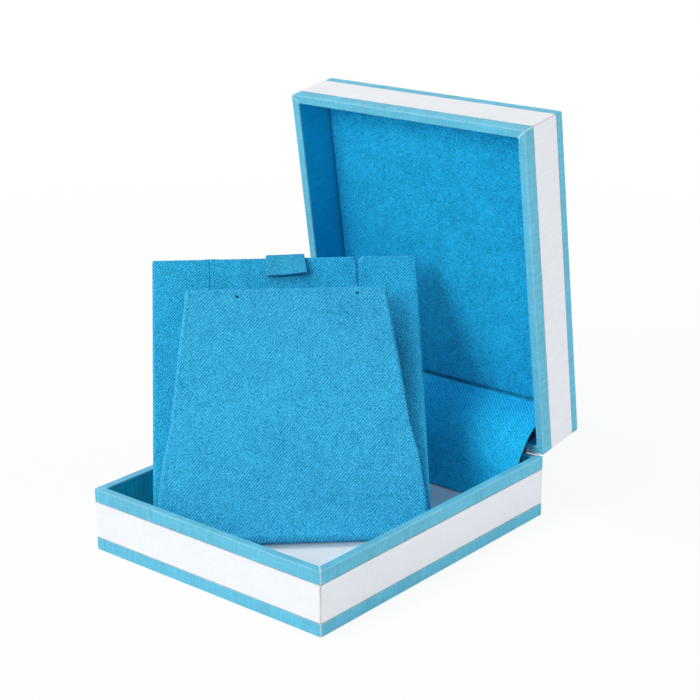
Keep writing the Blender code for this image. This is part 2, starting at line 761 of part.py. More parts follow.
def make_panel(pivot):
    """Make the panel: a card board in a suede sleeve that is open at the fold."""
    slits = make_slits(pivot)
    mesh = bmesh.new()
    skin = SUEDE + SUEDE_GAP
    add_prism(mesh, panel_outline(skin, PANEL_START + SUEDE_GAP), skin, skin + PANEL_BOARD, UPRIGHT)
    settle(mesh, roll_line())
    board = finish_object("card_panel_board", mesh, GREY_BOARD, pivot)
    cut(board, slits)

    mesh = bmesh.new()
    add_prism(mesh, panel_outline(0, PANEL_START), 0, PANEL_THICKNESS, UPRIGHT)
    settle(mesh, roll_line())
    sleeve = finish_object("card_panel_suede", mesh, BLUE_SUEDE, pivot)
    soften(sleeve, SUEDE_ROUND)
    mesh = bmesh.new()
    pocket = panel_outline(SUEDE, PANEL_START - OVERRUN)
    add_prism(mesh, pocket, SUEDE, PANEL_THICKNESS - SUEDE, UPRIGHT)
    settle(mesh, roll_line())
    cut(sleeve, make_cutter("panel_pocket", mesh, pivot))
    cut(sleeve, slits)


def make_flap(pivot):
    """Make the flap: a tapered board in a suede sleeve, pierced for a pair of posts."""
    mesh = bmesh.new()
    for place in POST_HOLES:
        outline = circle(POST_HOLE_RADIUS, POST_HOLE_SIDES, place)
        add_prism(mesh, outline, -FLAP_THICKNESS, FLAP_THICKNESS, UPRIGHT)
    holes = make_cutter("post_holes", mesh, pivot)

    mesh = bmesh.new()
    skin = SUEDE + SUEDE_GAP
    add_prism(mesh, flap_outline(skin, FLAP_START + SUEDE_GAP), -FLAP_BOARD / 2, FLAP_BOARD / 2, UPRIGHT)
    board = finish_object("card_flap_board", mesh, GREY_BOARD, pivot)
    cut(board, holes)

    half = FLAP_THICKNESS / 2
    mesh = bmesh.new()
    add_prism(mesh, flap_outline(0, FLAP_START), -half, half, UPRIGHT)
    sleeve = finish_object("card_flap_suede", mesh, BLUE_SUEDE, pivot)
    soften(sleeve, SUEDE_ROUND)
    mesh = bmesh.new()
    add_prism(mesh, flap_outline(SUEDE, FLAP_START - OVERRUN), SUEDE - half, half - SUEDE, UPRIGHT)
    cut(sleeve, make_cutter("flap_pocket", mesh, pivot))
    cut(sleeve, holes)


def make_fold(pivot, shift):
    """Make the suede spine that the panel and the flap are folded up from."""
    centre = fold_centre()
    path = []
    for step in range(FOLD_STEPS + 1):
        angle = math.pi * step / FOLD_STEPS
        rise = (FOLD_RISE - SUEDE / 2) * math.sin(angle)
        width = (FOLD_WIDTH - SUEDE) / 2 * math.cos(angle)
        path.append((centre.x - rise, centre.y - width))
    mesh = bmesh.new()
    reach = CARD_WIDTH / 2 - SUEDE_ROUND
    add_prism(mesh, stroke(path, SUEDE), -reach, reach, ALONG_X)
    bmesh.ops.transform(mesh, matrix=shift, verts=mesh.verts)
    return finish_object("card_fold_spine", mesh, BLUE_SUEDE, pivot)


def make_pull_tab(pivot):
    """Make the suede loop folded over the panel's top edge, to lift the card by."""
    gap = SUEDE_GAP + TAB_THICKNESS / 2
    over = CARD_HEIGHT + gap
    corners = (
        (CARD_HEIGHT - TAB_BACK, -gap),
        (over, -gap),
        (over, PANEL_THICKNESS + gap),
        (CARD_HEIGHT - TAB_FRONT, PANEL_THICKNESS + gap + TAB_FLARE),
    )
    path = rounded(corners, (0, TAB_FOLD_RADIUS, TAB_FOLD_RADIUS, 0), CORNER_STEPS, closed=False)
    mesh = bmesh.new()
    add_prism(mesh, stroke(path, TAB_THICKNESS), -TAB_WIDTH / 2, TAB_WIDTH / 2, ALONG_X)
    settle(mesh, roll_line())
    return finish_object("card_pull_tab", mesh, BLUE_SUEDE, pivot)


def make_case():
    """Make the tray, the lid and the hinge that joins them."""
    open_turn = Matrix.Rotation(-math.radians(LID_OPEN_ANGLE), 4, "X")
    lid_pivot = add_pivot("lid_pivot", Matrix.Translation(HINGE_PLACE) @ open_turn)
    tray = CaseHalf("tray", -1, TRAY_HEIGHT, TRAY_RIM_STRIPE, TRAY_FOOT_STRIPE, None)
    lid = CaseHalf("lid", 1, LID_HEIGHT, LID_RIM_STRIPE, LID_TOP_STRIPE, lid_pivot)
    for half in (tray, lid):
        rebate = make_rebate(half)
        rivet_holes = make_rivet_holes(half)
        make_core(half, rebate, rivet_holes)
        make_rim_paper(half, rebate)
        make_band_paper(half)
        make_leaf(half, half is tray, rivet_holes)
        make_rivets(half)
    make_foot_paper(tray)
    make_base_paper(tray)
    make_floor_card(tray)
    make_top_paper(lid)
    make_liner(lid)
    make_pin()
    make_springs()
    make_hinge_cover()


def make_card():
    """Make the display card that stands in the tray."""
    fold_shift, lift_pivot, card_pivot, flap_pivot = make_card_pivots()
    make_fold(lift_pivot, fold_shift)
    make_panel(card_pivot)
    make_pull_tab(card_pivot)
    make_flap(flap_pivot)


def main():
    for obj in list(bpy.data.objects):
        bpy.data.objects.remove(obj, do_unlink=True)
    make_case()
    make_card()


main()
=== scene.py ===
"""Looks of the hinged necklace box: linen paper wraps, suede display card and lining, steel hinge.

Lengths are in metres, and MM turns millimetres into metres. In each half of the case an inset is measured
from its outer faces inwards, and a depth from its rim towards its closed side.
"""
import json
import math

import bmesh
import bpy
import numpy as np
from mathutils import Matrix, Vector, geometry, noise


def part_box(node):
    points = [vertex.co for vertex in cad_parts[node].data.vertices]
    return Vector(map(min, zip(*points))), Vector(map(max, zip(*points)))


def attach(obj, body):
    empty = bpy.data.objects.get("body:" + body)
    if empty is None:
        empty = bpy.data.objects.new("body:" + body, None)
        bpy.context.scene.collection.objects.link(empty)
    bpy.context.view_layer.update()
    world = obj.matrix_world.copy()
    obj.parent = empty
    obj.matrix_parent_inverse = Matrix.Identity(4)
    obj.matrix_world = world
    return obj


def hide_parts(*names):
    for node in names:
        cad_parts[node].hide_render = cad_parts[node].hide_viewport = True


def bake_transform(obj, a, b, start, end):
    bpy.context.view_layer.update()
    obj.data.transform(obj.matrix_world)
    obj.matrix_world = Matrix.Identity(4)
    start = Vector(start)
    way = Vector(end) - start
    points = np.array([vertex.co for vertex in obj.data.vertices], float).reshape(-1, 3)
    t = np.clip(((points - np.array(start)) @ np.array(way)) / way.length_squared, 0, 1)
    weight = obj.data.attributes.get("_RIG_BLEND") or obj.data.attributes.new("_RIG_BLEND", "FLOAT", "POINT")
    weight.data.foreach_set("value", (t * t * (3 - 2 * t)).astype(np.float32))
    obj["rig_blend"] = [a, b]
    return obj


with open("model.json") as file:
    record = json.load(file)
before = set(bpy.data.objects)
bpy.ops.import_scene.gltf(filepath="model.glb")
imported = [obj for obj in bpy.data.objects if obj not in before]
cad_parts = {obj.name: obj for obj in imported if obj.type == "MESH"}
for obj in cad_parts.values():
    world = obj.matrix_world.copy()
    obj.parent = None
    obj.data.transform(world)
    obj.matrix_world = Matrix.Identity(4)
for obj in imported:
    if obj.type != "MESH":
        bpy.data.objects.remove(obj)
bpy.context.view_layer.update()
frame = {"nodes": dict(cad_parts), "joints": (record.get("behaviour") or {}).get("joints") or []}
joints = {joint["name"]: joint for joint in frame["joints"]}
case_low, case_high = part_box("tray_band_paper")

MM = 0.001

# Case
WIDTH = case_high.x - case_low.x
DEPTH = case_high.y - case_low.y
_, HINGE_Y, TRAY_HEIGHT = joints["lid_hinge"]["pos_m"]
OPEN = math.radians(joints["lid_hinge"]["range_deg"][1])
LID_HEIGHT = 16.3 * MM
LID_TILT = OPEN - math.pi / 2
RIM = 0.15 * MM
CORNER = 0.6 * MM
LEAST_CORNER = 0.12 * MM

# Home of each half: a frame whose z is the depth from the half's rim
TRAY_HOME = Matrix.Translation((0, 0, TRAY_HEIGHT)) @ Matrix.Scale(-1, 4, (0, 0, 1))
LID_HOME = (Matrix.Translation((0, HINGE_Y, TRAY_HEIGHT)) @ Matrix.Rotation(-OPEN, 4, "X")
            @ Matrix.Translation((0, -HINGE_Y, 0)))

# Walls, from the outside in: paper, glue line, board, glue line, paper
PAPER = 0.25 * MM
GLUE_LINE = 0.25 * MM
WALL_BOARD = 1.25 * MM
FLOOR_BOARD = 1.5 * MM
BOARD_BACK = PAPER + GLUE_LINE + WALL_BOARD
WALL = BOARD_BACK + GLUE_LINE + PAPER
INNER_STOP = PAPER + GLUE_LINE + FLOOR_BOARD + GLUE_LINE

# Stripes of the wraps: at the rim, then at the closed side
TRAY_STRIPES = (3.5 * MM, 3.4 * MM)
LID_STRIPES = (3.6 * MM, 2.7 * MM)
SEAM = 0.15 * MM
FOOT_TURN_IN = 9 * MM

# Wraps: folds over the rim, the rebate for the knuckles and the blocks at the pin's ends
RIM_FOLD = 0.28 * MM
RIM_LINE = 0.44 * MM
REBATE = 1.0 * MM
REBATE_HALF = 36.4 * MM
REBATE_FOLD = 0.3 * MM
PIN_GAP = 0.42 * MM
BLOCK_FOLD = 0.2 * MM
BACK_SHARES = (0.0612, 0.9388)
BLOCK_SHARES = ((0.0006, 0.061), (0.939, 0.9994))
FOLD_LIMIT = 0.49
FOLD_STEPS = 5
ARC_STEPS = 8
SECTION_STEP, STRIPE_SECTION_STEP = 1.2 * MM, 1.4 * MM
RIM_STEP, BACK_STEP, BLOCK_STEP, STRIPE_STEP = 1.3 * MM, 2 * MM, 1.2 * MM, 1.6 * MM
MITRE_STATIONS = (0.12 * MM, 0.28 * MM, 0.5 * MM, 0.8 * MM)
# Inner faces past this inset and below this depth take a darker paper: painted shade
SHADE_INSET = BOARD_BACK + 0.2 * MM
SHADE_DEPTH = 0.5 * MM

# Wrinkles, rubbed places and painted light of the wraps; a crease is a side of the case and a share of its
# length
CREASES = ((1, 0.73), (1, 0.585), (1, 0.488), (0, 0.31), (0, 0.66), (2, 0.4))
RIM_WRINKLE, BACK_WRINKLE, FLAT_WRINKLE = 0.05 * MM, 0.03 * MM, 0.02 * MM
CREASE_DEPTH, CREASE_HALF = 0.11 * MM, 0.22 * MM
GROOVE_DEPTH, GROOVE_HALF = 0.05 * MM, 0.22 * MM
RIM_GROOVE_DEPTH = 0.09 * MM
OUTER_INSET = 0.1 * MM
RIM_DEPTH = 0.5 * MM
MITRE_WEAR_HALF = 0.30 * MM
BACK_MITRE_WEAR = 0.1
STRIPE_MITRE_WEAR = 0.9
# Pale line on the rim's fold: partly rubbed paper, partly painted highlight
FOLD_WEAR_AND_HIGHLIGHT, FOLD_HIGHLIGHT_REACH = 0.2, 0.34 * MM
# Dark line on the foot's bottom edge: painted contact shadow
SEAM_WEAR, FOOT_CONTACT_SHADOW, SEAM_REACH = 0.8, -0.9, 0.05 * MM

# Display card: its frame runs across, up and out of its front from the middle of its back lower edge
LEAN = math.radians(38)
FLAP_LINE = Vector((0, 1.2, 3.65)) * MM
FLAP_STANDOFF = math.radians(5)
ACROSS = Vector(joints["flap_fold"]["axis"]).normalized()
AHEAD = Vector((ACROSS.y, -ACROSS.x, 0))
UP = Vector((0, 0, math.cos(LEAN))) - AHEAD * math.sin(LEAN)
FRONT = ACROSS.cross(UP)
CARD_AXES = Matrix((ACROSS, UP, FRONT)).transposed()
CARD_ORIGIN = Vector(joints["flap_fold"]["pos_m"]) - CARD_AXES @ FLAP_LINE
CARD = Matrix.Translation(CARD_ORIGIN) @ CARD_AXES.to_4x4()
FLAP = CARD @ Matrix.Translation(FLAP_LINE) @ Matrix.Rotation(FLAP_STANDOFF, 4, "X")
CARD_CORNER = 0.5 * MM

# Panel: a slit has a place across, a width at its mouth and how far its right side gapes
PANEL_HALF, PANEL_TOP, PANEL_THICK = 34.8 * MM, 76.5 * MM, 2.4 * MM
PANEL_EDGE = 0.75 * MM
SLIT_EDGE, SLIT_SIDE, SLIT_REACH = 0.32 * MM, 1.2 * MM, 9.5 * MM
LEAST_HALF = 0.03 * MM
SLITS = ((-19.7 * MM, 0.05 * MM, 0.3), (19.0 * MM, 1.4 * MM, 1.2))
CUT_SLIT, OPEN_SLIT = 0.014 * MM, 0.32 * MM
SLIT_MOUTH, SLIT_NECK, SLIT_WAIST, SLIT_DEPTH = 0.8 * MM, 2.4 * MM, 6 * MM, 8.4 * MM
GAPE_LIFT, GAPE_REACH, GAPE_HALF = 0.3 * MM, 10 * MM, 4.5 * MM

# Flap: its side as shares of its height and of its half width at the foot
FLAP_HALF, FLAP_TOP, FLAP_THICK = 34.45 * MM, 64.0 * MM, 2.1 * MM
FLAP_EDGE = 0.7 * MM
FLAP_START, FLAP_FOOT = 1.1 * MM, 0.05 * MM - FLAP_THICK / 2
FLAP_SHARES = ((0.0, 1.0), (0.12, 0.972), (0.29, 0.935), (0.43, 0.877), (0.66, 0.828), (1.0, 0.752))
ROLL_PLACE, ROLL_HEIGHT, ROLL_WIDTH = 0.95 * MM, 0.14 * MM, 0.32 * MM
ROLL_RINGS = (ROLL_PLACE, 1.25 * MM, 1.6 * MM)
POST_HOLES = ((-12.6 * MM, 61.8 * MM), (18.3 * MM, 62.2 * MM))
POST_HOLE_RADIUS = 0.45 * MM
CUTTER_LENGTH = 8 * MM

# Fold of suede round the card's foot: half a round, flattened
FOLD_HALF = 34.3 * MM
FOLD_UP, FOLD_OUT = 1.25 * MM, 2.35 * MM
FOLD_DROP, FOLD_REACH = 1.15 * MM, 2.2 * MM
FOLD_SKIN, FOLD_SKIN_SHARE = 0.35 * MM, 0.16
FOLD_ROUND_STEPS, FOLD_PIECES = 18, 46
FOLD_BLEND = (-3 * MM, -1 * MM)

# Pull tab
TAB_WIDTH, TAB_THICK, TAB_COLUMNS = 10 * MM, 0.55 * MM, 22
TAB_GAP, TAB_FOLD = 0.5 * MM, 0.9 * MM
TAB_BACK, TAB_FRONT, TAB_LIFT = 8 * MM, 5.5 * MM, 0.65 * MM
TAB_FLARE, TAB_LEFT_SHARE = 0.9 * MM, 0.3
TAB_CURL, TAB_SAG, TAB_CRUMPLE = 1.6 * MM, 0.2 * MM, 0.12 * MM

# Hinge cloth: its corners before and under the hinge, then along the open lid and into it
COVER_THICK, COVER_COLUMNS = 0.5 * MM, 56
COVER_IN_TRAY = ((8.3 * MM, 12.95 * MM), (7.1 * MM, 7.6 * MM), (6.95 * MM, 1.2 * MM))
COVER_IN_LID = ((6.9 * MM, 0.6 * MM), (8.6 * MM, 10.1 * MM))
COVER_BENDS = (0, 3 * MM, 5 * MM, 5 * MM, 0)
COVER_WAVE, COVER_FRAY = 0.22 * MM, 0.16 * MM

# Springs: a bow from leaf to leaf
SPRING_THICK, SPRING_WIDTH, SPRING_PLACE = 0.3 * MM, 7 * MM, 16 * MM
SPRING_FOOT, SPRING_REACH = 2.9 * MM, 9.6 * MM
SPRING_ARCH, SPRING_LIFT = 6.9 * MM, 1.6 * MM
SPRING_STEPS, SPRING_COLUMNS = 24, 10

# Strips of cloth or steel laid along a path
CURVE_LIMIT = 0.48
CURVE_STEPS = 8
STRIP_STEP = 0.6 * MM
STRIP_EDGE = 0.5 * MM

# Liner of the lid; the crease is where the hinge cloth's edge presses into it
LINER_BOARD = 1.0 * MM
LINER_THICK = 1.3 * MM
LINER_HALF_X, LINER_HALF_Y = WIDTH / 2 - WALL - GLUE_LINE, DEPTH / 2 - WALL - GLUE_LINE
LINER_CORNER, LINER_EDGE = 1.2 * MM, 0.6 * MM
LINER_CROWN, CROWN_POWER = 0.75 * MM, 6
LINER_SPACING = 1.3 * MM
CREASE_PLACE = 35.7 * MM
PRESS_DEPTH, PRESS_WIDTH = 0.5 * MM, 0.4 * MM
CREASE_LINES = tuple(CREASE_PLACE + x * PRESS_WIDTH for x in (-2, -1, 0, 1, 2))

# Camera: its direction, lens and place (right, up, back) along its own axes in widths of the case
CAMERA_TURN, CAMERA_RISE, CAMERA_ROLL = math.radians(40.095), math.radians(18.77), math.radians(-0.297)
CAMERA_PLACE = Vector((0.0897, 0.6235, 6.1153))
SENSOR, LENS = 36, 91.29
CLIP = (0.01, 10)

# Lamps: place, width and height, power
LAMP_AIM = (0, 0, 0.04)
LAMPS = {
    "key": ((-0.12, -0.85, 0.52), (0.42, 0.42), 4.6),
    "fill": ((0.45, -0.65, 0.38), (0.5, 0.5), 0.35),
    "side": ((0.85, 0.75, 0.30), (0.5, 0.5), 6.0),
    "top": ((-0.32, -0.26, 0.86), (0.5, 0.5), 3.55),
    "back": ((-0.5, 0.95, 0.16), (0.6, 0.3), 1.1),
}

# The floor turns white between two distances from the middle, from one share to another
FLOOR_RADIUS = 4.0
FLOOR_FADE = (0.10, 0.45, 0.90, 1.0)
SKY_COLOUR, SKY_STRENGTH = (0.93, 0.96, 1.0, 1), 0.27
PURE_WHITE = (1, 1, 1, 1)

# Colours
CYAN = (0.125, 0.515, 0.70)
# Darker, almost redless paper inside the walls of each half: painted shade
TRAY_INNER_SHADE = (0.004, 0.46, 0.64)
LID_INNER_SHADE = (0.001, 0.42, 0.72)
WHITE = (0.87, 0.885, 0.92)
CARD_WHITE = (0.96, 0.97, 0.98)
BOARD_GREY = (0.42, 0.40, 0.36)
FLOOR_GREY = (0.86, 0.87, 0.88)
SUEDE = (0.039, 0.485, 0.82)
PANEL_SUEDE = (0.027, 0.49, 0.835)
INNER_SUEDE = (0.009, 0.39, 0.70)
LINT = (0.40, 0.70, 0.82)
NAP_SHEEN = (0.45, 0.82, 1.0)
# Pale cyan of rubbed paper, also the painted highlight on the rim's fold
CYAN_WORN_AND_LIT = (0.84, 0.90, 0.94)
WHITE_WORN = (0.40, 0.37, 0.37)
# Colour of the painted contact shadow under the foot
PAINTED_SHADOW = (0.20, 0.17, 0.15)
BRIGHT_STEEL = (0.86, 0.86, 0.88)
# Dark steel of the hinge leaves and rivets: painted shade round the hinge
SHADE_DARKENED_STEEL = (0.16, 0.17, 0.19)
SPRING_STEEL = (0.36, 0.38, 0.44)


# Materials; a noise scale counts clouds in a metre
class Shader:
    """A material's node tree with short calls for the nodes used here."""

    def __init__(self, name, rough, metal=0.0, sheen=0.0, specular=0.5):
        self.material = bpy.data.materials.new(name)
        self.material.use_nodes = True
        self.tree = self.material.node_tree
        self.bsdf = self.tree.nodes["Principled BSDF"]
        self.bsdf.inputs["Roughness"].default_value = rough
        self.bsdf.inputs["Metallic"].default_value = metal
        self.bsdf.inputs["Specular IOR Level"].default_value = specular
        if sheen:
            self.bsdf.inputs["Sheen Weight"].default_value = sheen
            self.bsdf.inputs["Sheen Roughness"].default_value = 0.45
            self.bsdf.inputs["Sheen Tint"].default_value = (*NAP_SHEEN, 1)
        self.place = self.tree.nodes.new("ShaderNodeTexCoord").outputs["Object"]

    def node(self, kind, inputs, **settings):
        made = self.tree.nodes.new(kind)
        for key, value in settings.items():
            setattr(made, key, value)
        for key, value in inputs.items():
            if isinstance(value, bpy.types.NodeSocket):
                self.tree.links.new(value, made.inputs[key])
            else:
                made.inputs[key].default_value = value
        return made

    def math(self, operation, first, second=0.0, third=0.0, clamp=False):
        inputs = {0: first, 1: second, 2: third}
        return self.node("ShaderNodeMath", inputs, operation=operation, use_clamp=clamp).outputs[0]

    def vector(self, operation, first, second=(0, 0, 0)):
        return self.node("ShaderNodeVectorMath", {0: first, 1: second}, operation=operation).outputs

    def stretch(self, scale, turn=0.0):
        """Object place turned about X by an angle, then scaled per axis."""
        turned = self.place
        if turn:
            turned = self.node("ShaderNodeMapping", {"Vector": turned, "Rotation": (turn, 0, 0)}).outputs[0]
        return self.vector("MULTIPLY", turned, scale)[0]

    def cloud(self, vector, scale, detail=2.0, rough=0.5):
        inputs = {"Vector": vector, "Scale": scale, "Detail": detail, "Roughness": rough}
        return self.node("ShaderNodeTexNoise", inputs).outputs[0]

    def ramp(self, value, low, high, out_low=0.0, out_high=1.0):
        inputs = {"Value": value, "From Min": low, "From Max": high, "To Min": out_low, "To Max": out_high}
        return self.node("ShaderNodeMapRange", inputs).outputs[0]

    def sway(self, noise_value, most):
        """Noise as a change of up to so much either way."""
        return self.ramp(noise_value, 0.3, 0.7, -most, most)

    def project(self, vector):
        """Dot product of the object place and a vector."""
        return self.vector("DOT_PRODUCT", self.place, tuple(vector))["Value"]

    def grainwise(self, direction, pitch, length):
        """Object place in a frame square to the ribs, so that noise on it makes short dashes along them."""
        across = Vector(direction).normalized()
        side = across.cross(Vector((0, 0, 1))).normalized()
        rows = {"X": across * (2 / pitch), "Y": side * (2 / length), "Z": across.cross(side) * (2 / length)}
        parts = {axis: self.project(row) for axis, row in rows.items()}
        return self.node("ShaderNodeCombineXYZ", parts).outputs[0]

    def ribs(self, direction, pitch, wobble):
        """A sine that repeats every pitch along a direction, its phase shifted by a wobble."""
        phase = self.project(Vector(direction).normalized() * (math.tau / pitch))
        return self.math("SINE", self.math("ADD", phase, wobble))

    def mix(self, share, first, second):
        """Colour between two, each a socket or plain red, green and blue."""
        first, second = ((*c, 1) if isinstance(c, tuple) else c for c in (first, second))
        return self.node("ShaderNodeMix", {0: share, 6: first, 7: second}, data_type="RGBA").outputs[2]

    def finish(self, colour, height, distance, strength):
        self.tree.links.new(colour, self.bsdf.inputs["Base Color"])
        bump = self.node("ShaderNodeBump", {"Strength": strength, "Distance": distance, "Height": height})
        self.tree.links.new(bump.outputs[0], self.bsdf.inputs["Normal"])
        return self.material


def tone(colour, share):
    return tuple(min(1.0, c * share) for c in colour)


def make_paper(name, colour, turn, line_depth, rough=0.6, worn_and_lit=None, shine=0.2, coarse=0.2, cloudy=0.16):
    """Printed paper with a fine linen emboss: short raised threads both ways."""
    s = Shader(name, rough, specular=shine)
    upright = s.cloud(s.stretch((3600, 3600, 260), turn), 1.0)
    level_threads = s.cloud(s.stretch((240, 240, 3800), turn), 1.0)
    threads = s.math("MAXIMUM", s.ramp(upright, 0.42, 0.66), s.ramp(level_threads, 0.42, 0.66))
    patches = s.cloud(s.place, 90, 3.0)
    shade = s.math("ADD", s.ramp(threads, 0, 1, 0.25, 0.75), s.sway(patches, cloudy))
    if coarse:
        # Thicker threads run up the tray's walls and across the lid's
        slubs = s.cloud(s.stretch((1700, 130, 1700) if turn else (2600, 2600, 130), turn), 1.0, 1.0)
        shade = s.math("ADD", shade, s.sway(slubs, coarse))
    paint = s.mix(shade, tone(colour, 1 - line_depth), tone(colour, 1 + line_depth * 0.8))
    if worn_and_lit:
        wear_and_light = s.node("ShaderNodeAttribute", {}, attribute_name="wear_and_light").outputs["Fac"]
        # Below nought the mark is a line of painted contact shadow
        paint = s.mix(s.ramp(wear_and_light, 0.0, -1.0), paint, PAINTED_SHADOW)
        # Above nought the paper is rubbed pale; on the rim's fold that is partly painted highlight
        fray = s.ramp(s.cloud(s.place, 2600, 4.0, 0.7), 0.34, 0.52)
        paint = s.mix(s.math("MULTIPLY", wear_and_light, fray, clamp=True), paint, worn_and_lit)
    height = s.math("ADD", threads, s.math("MULTIPLY", s.cloud(s.place, 5200, 3.0), 0.5))
    return s.finish(paint, height, 0.04 * MM, 0.8)


def make_suede(name, colour, grain, ribs=None, rib=0.0, patch=0.5, sheen=0.2, nap_scale=3100):
    """Napped microsuede: a fine broken twill, brushed patches, grain and a little lint.

    ribs is the direction square to the twill's ribs and their pitch, and rib how strong they are.
    """
    s = Shader(name, 0.95, sheen=sheen, specular=0.12)
    nap = s.cloud(s.place, nap_scale, 3.0, 0.62)
    fine = s.cloud(s.place, 5600, 2.0, 0.6)
    broad = s.cloud(s.place, 110, 4.0, 0.62)
    brushed = s.cloud(s.place, 430, 3.0, 0.6)
    shade = s.math("ADD", s.ramp(nap, 0.25, 0.75, 0.5 - 0.34 * grain, 0.5 + 0.34 * grain),
                   s.ramp(fine, 0.25, 0.75, -0.22 * grain, 0.22 * grain))
    height = s.math("MULTIPLY_ADD", nap, 1.5 * grain, s.math("MULTIPLY", fine, 0.8))
    if ribs:
        direction, pitch = ribs
        dashes = s.cloud(s.grainwise(direction, pitch * 0.62, pitch * 1.8), 1.0, 0.0)
        drift = s.math("MULTIPLY", s.cloud(s.place, 240, 1.0), 2.6)
        faded = s.math("MULTIPLY", s.ribs(direction, pitch, drift), s.ramp(dashes, 0.3, 0.7, 0.3, 1.0))
        broken = s.math("ADD", faded, s.sway(dashes, 0.6))
        shade = s.math("MULTIPLY_ADD", broken, 0.34 * rib, shade)
        height = s.math("MULTIPLY_ADD", broken, 0.9 * rib, height)
    shade = s.math("ADD", shade, s.sway(broad, 0.16 * patch))
    shade = s.math("ADD", shade, s.sway(brushed, 0.15 * patch), clamp=True)
    red, green, blue = colour
    paint = s.mix(shade, (red * 0.1, green * 0.52, blue * 0.60), (red * 2.2, green * 1.38, blue * 1.28))
    lint = s.ramp(s.cloud(s.place, 1100, 1.0, 0.4), 0.80, 0.83)
    paint = s.mix(s.math("MULTIPLY", lint, 0.4, clamp=True), paint, LINT)
    return s.finish(paint, height, 0.08 * MM, 0.75)


def across_ribs(angle):
    """Direction square to ribs that run on the card at an angle from across towards up."""
    turn = math.radians(angle)
    return UP * math.cos(turn) - ACROSS * math.sin(turn)


def make_board(name, colour):
    """Grey chipboard with short fibres and pulp flecks."""
    s = Shader(name, 0.9)
    fibre = s.cloud(s.stretch((1400, 900, 2600)), 1.0, 4.0, 0.65)
    fleck = s.ramp(s.cloud(s.place, 1900), 0.66, 0.72)
    paint = s.mix(s.ramp(fibre, 0.3, 0.7), tone(colour, 0.8), tone(colour, 1.15))
    paint = s.mix(s.math("MULTIPLY", fleck, 0.5), paint, tone(colour, 0.45))
    return s.finish(paint, fibre, 0.05 * MM, 0.6)


def make_card_stock(name, colour):
    """Smooth coated card with a faint cloudy formation."""
    s = Shader(name, 0.42)
    cloudy = s.cloud(s.place, 260, 4.0, 0.6)
    grain = s.cloud(s.place, 4200)
    paint = s.mix(s.ramp(cloudy, 0.3, 0.7), tone(colour, 0.965), tone(colour, 1.03))
    return s.finish(paint, s.math("MULTIPLY_ADD", cloudy, 0.6, grain), 0.02 * MM, 0.4)


def make_steel(name, colour, rough, scale, metal=1.0):
    """Plated strip steel with drawn lines along it and a few dull patches."""
    s = Shader(name, rough, metal=metal)
    lines = s.cloud(s.stretch(scale), 1.0, 3.0)
    dull = s.cloud(s.place, 500, 3.0)
    paint = s.mix(s.ramp(lines, 0.3, 0.7), tone(colour, 0.86), tone(colour, 1.1))
    s.tree.links.new(s.ramp(dull, 0.3, 0.7, rough * 0.7, rough * 1.35), s.bsdf.inputs["Roughness"])
    return s.finish(paint, lines, 0.01 * MM, 0.35)


tray_cyan = make_paper("tray_cyan_paper", CYAN, 0, 0.20, 0.5, CYAN_WORN_AND_LIT)
lid_cyan = make_paper("lid_cyan_paper", CYAN, LID_TILT, 0.20, 0.5, CYAN_WORN_AND_LIT)
# Darker papers inside the walls: painted shade
tray_shade_paper = make_paper("tray_painted_shade_paper", TRAY_INNER_SHADE, 0, 0.3, 0.7, shine=0.15, coarse=0.35)
lid_shade_paper = make_paper("lid_painted_shade_paper", LID_INNER_SHADE, LID_TILT, 0.2, 0.7, shine=0.15)
tray_white = make_paper("tray_white_paper", WHITE, 0, 0.05, worn_and_lit=WHITE_WORN, coarse=0, cloudy=0.08)
lid_white = make_paper("lid_white_paper", WHITE, LID_TILT, 0.05, worn_and_lit=WHITE_WORN, cloudy=0.05)
board_grey = make_board("grey_board", BOARD_GREY)
card_white = make_card_stock("white_card", CARD_WHITE)
bright_steel = make_steel("bright_steel", BRIGHT_STEEL, 0.36, (120, 3000, 3000), 0.7)
# Steel darkened as painted shade for the leaves and rivets
shade_darkened_steel = make_steel("painted_shade_steel", SHADE_DARKENED_STEEL, 0.5, (120, 3000, 3000))
spring_steel = make_steel("spring_steel", SPRING_STEEL, 0.34, (2600, 300, 300))
panel_suede = make_suede("panel_suede", PANEL_SUEDE, 1.5, (across_ribs(44), 0.59 * MM), 1.6)
flap_suede = make_suede("flap_suede", SUEDE, 1.8, (across_ribs(48), 0.617 * MM), 1.35)
tab_suede = make_suede("tab_suede", tone(SUEDE, 0.82), 2.0)
liner_suede = make_suede("liner_suede", tone(INNER_SUEDE, 1.1), 2.0, patch=0.7, sheen=0.1, nap_scale=2500)
# The hinge cloth's suede is lightened by 1.3 to offset the shade of card and lid on it: painted light
cover_lightened_suede = make_suede("cover_lightened_suede", tone(INNER_SUEDE, 1.3), 1.3, ((0.877, 0.65, 0.92), 0.633 * MM), 0.9,
                         sheen=0.05)


# Shapes
def new_object(name, bm, material, angle=35):
    """Object of a mesh, shaded smooth with its edges sharp above an angle."""
    bmesh.ops.remove_doubles(bm, verts=bm.verts, dist=1e-7)
    bmesh.ops.recalc_face_normals(bm, faces=bm.faces)
    mesh = bpy.data.meshes.new(name)
    bm.to_mesh(mesh)
    bm.free()
    mesh.materials.append(material)
    mesh.shade_smooth()
    mesh.set_sharp_from_angle(angle=math.radians(angle))
    obj = bpy.data.objects.new(name, mesh)
    bpy.context.scene.collection.objects.link(obj)
    return obj


def declare(piece, body, node):
    """Say what a piece rides on and hide the node it stands for."""
    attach(piece, body)
    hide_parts(node)


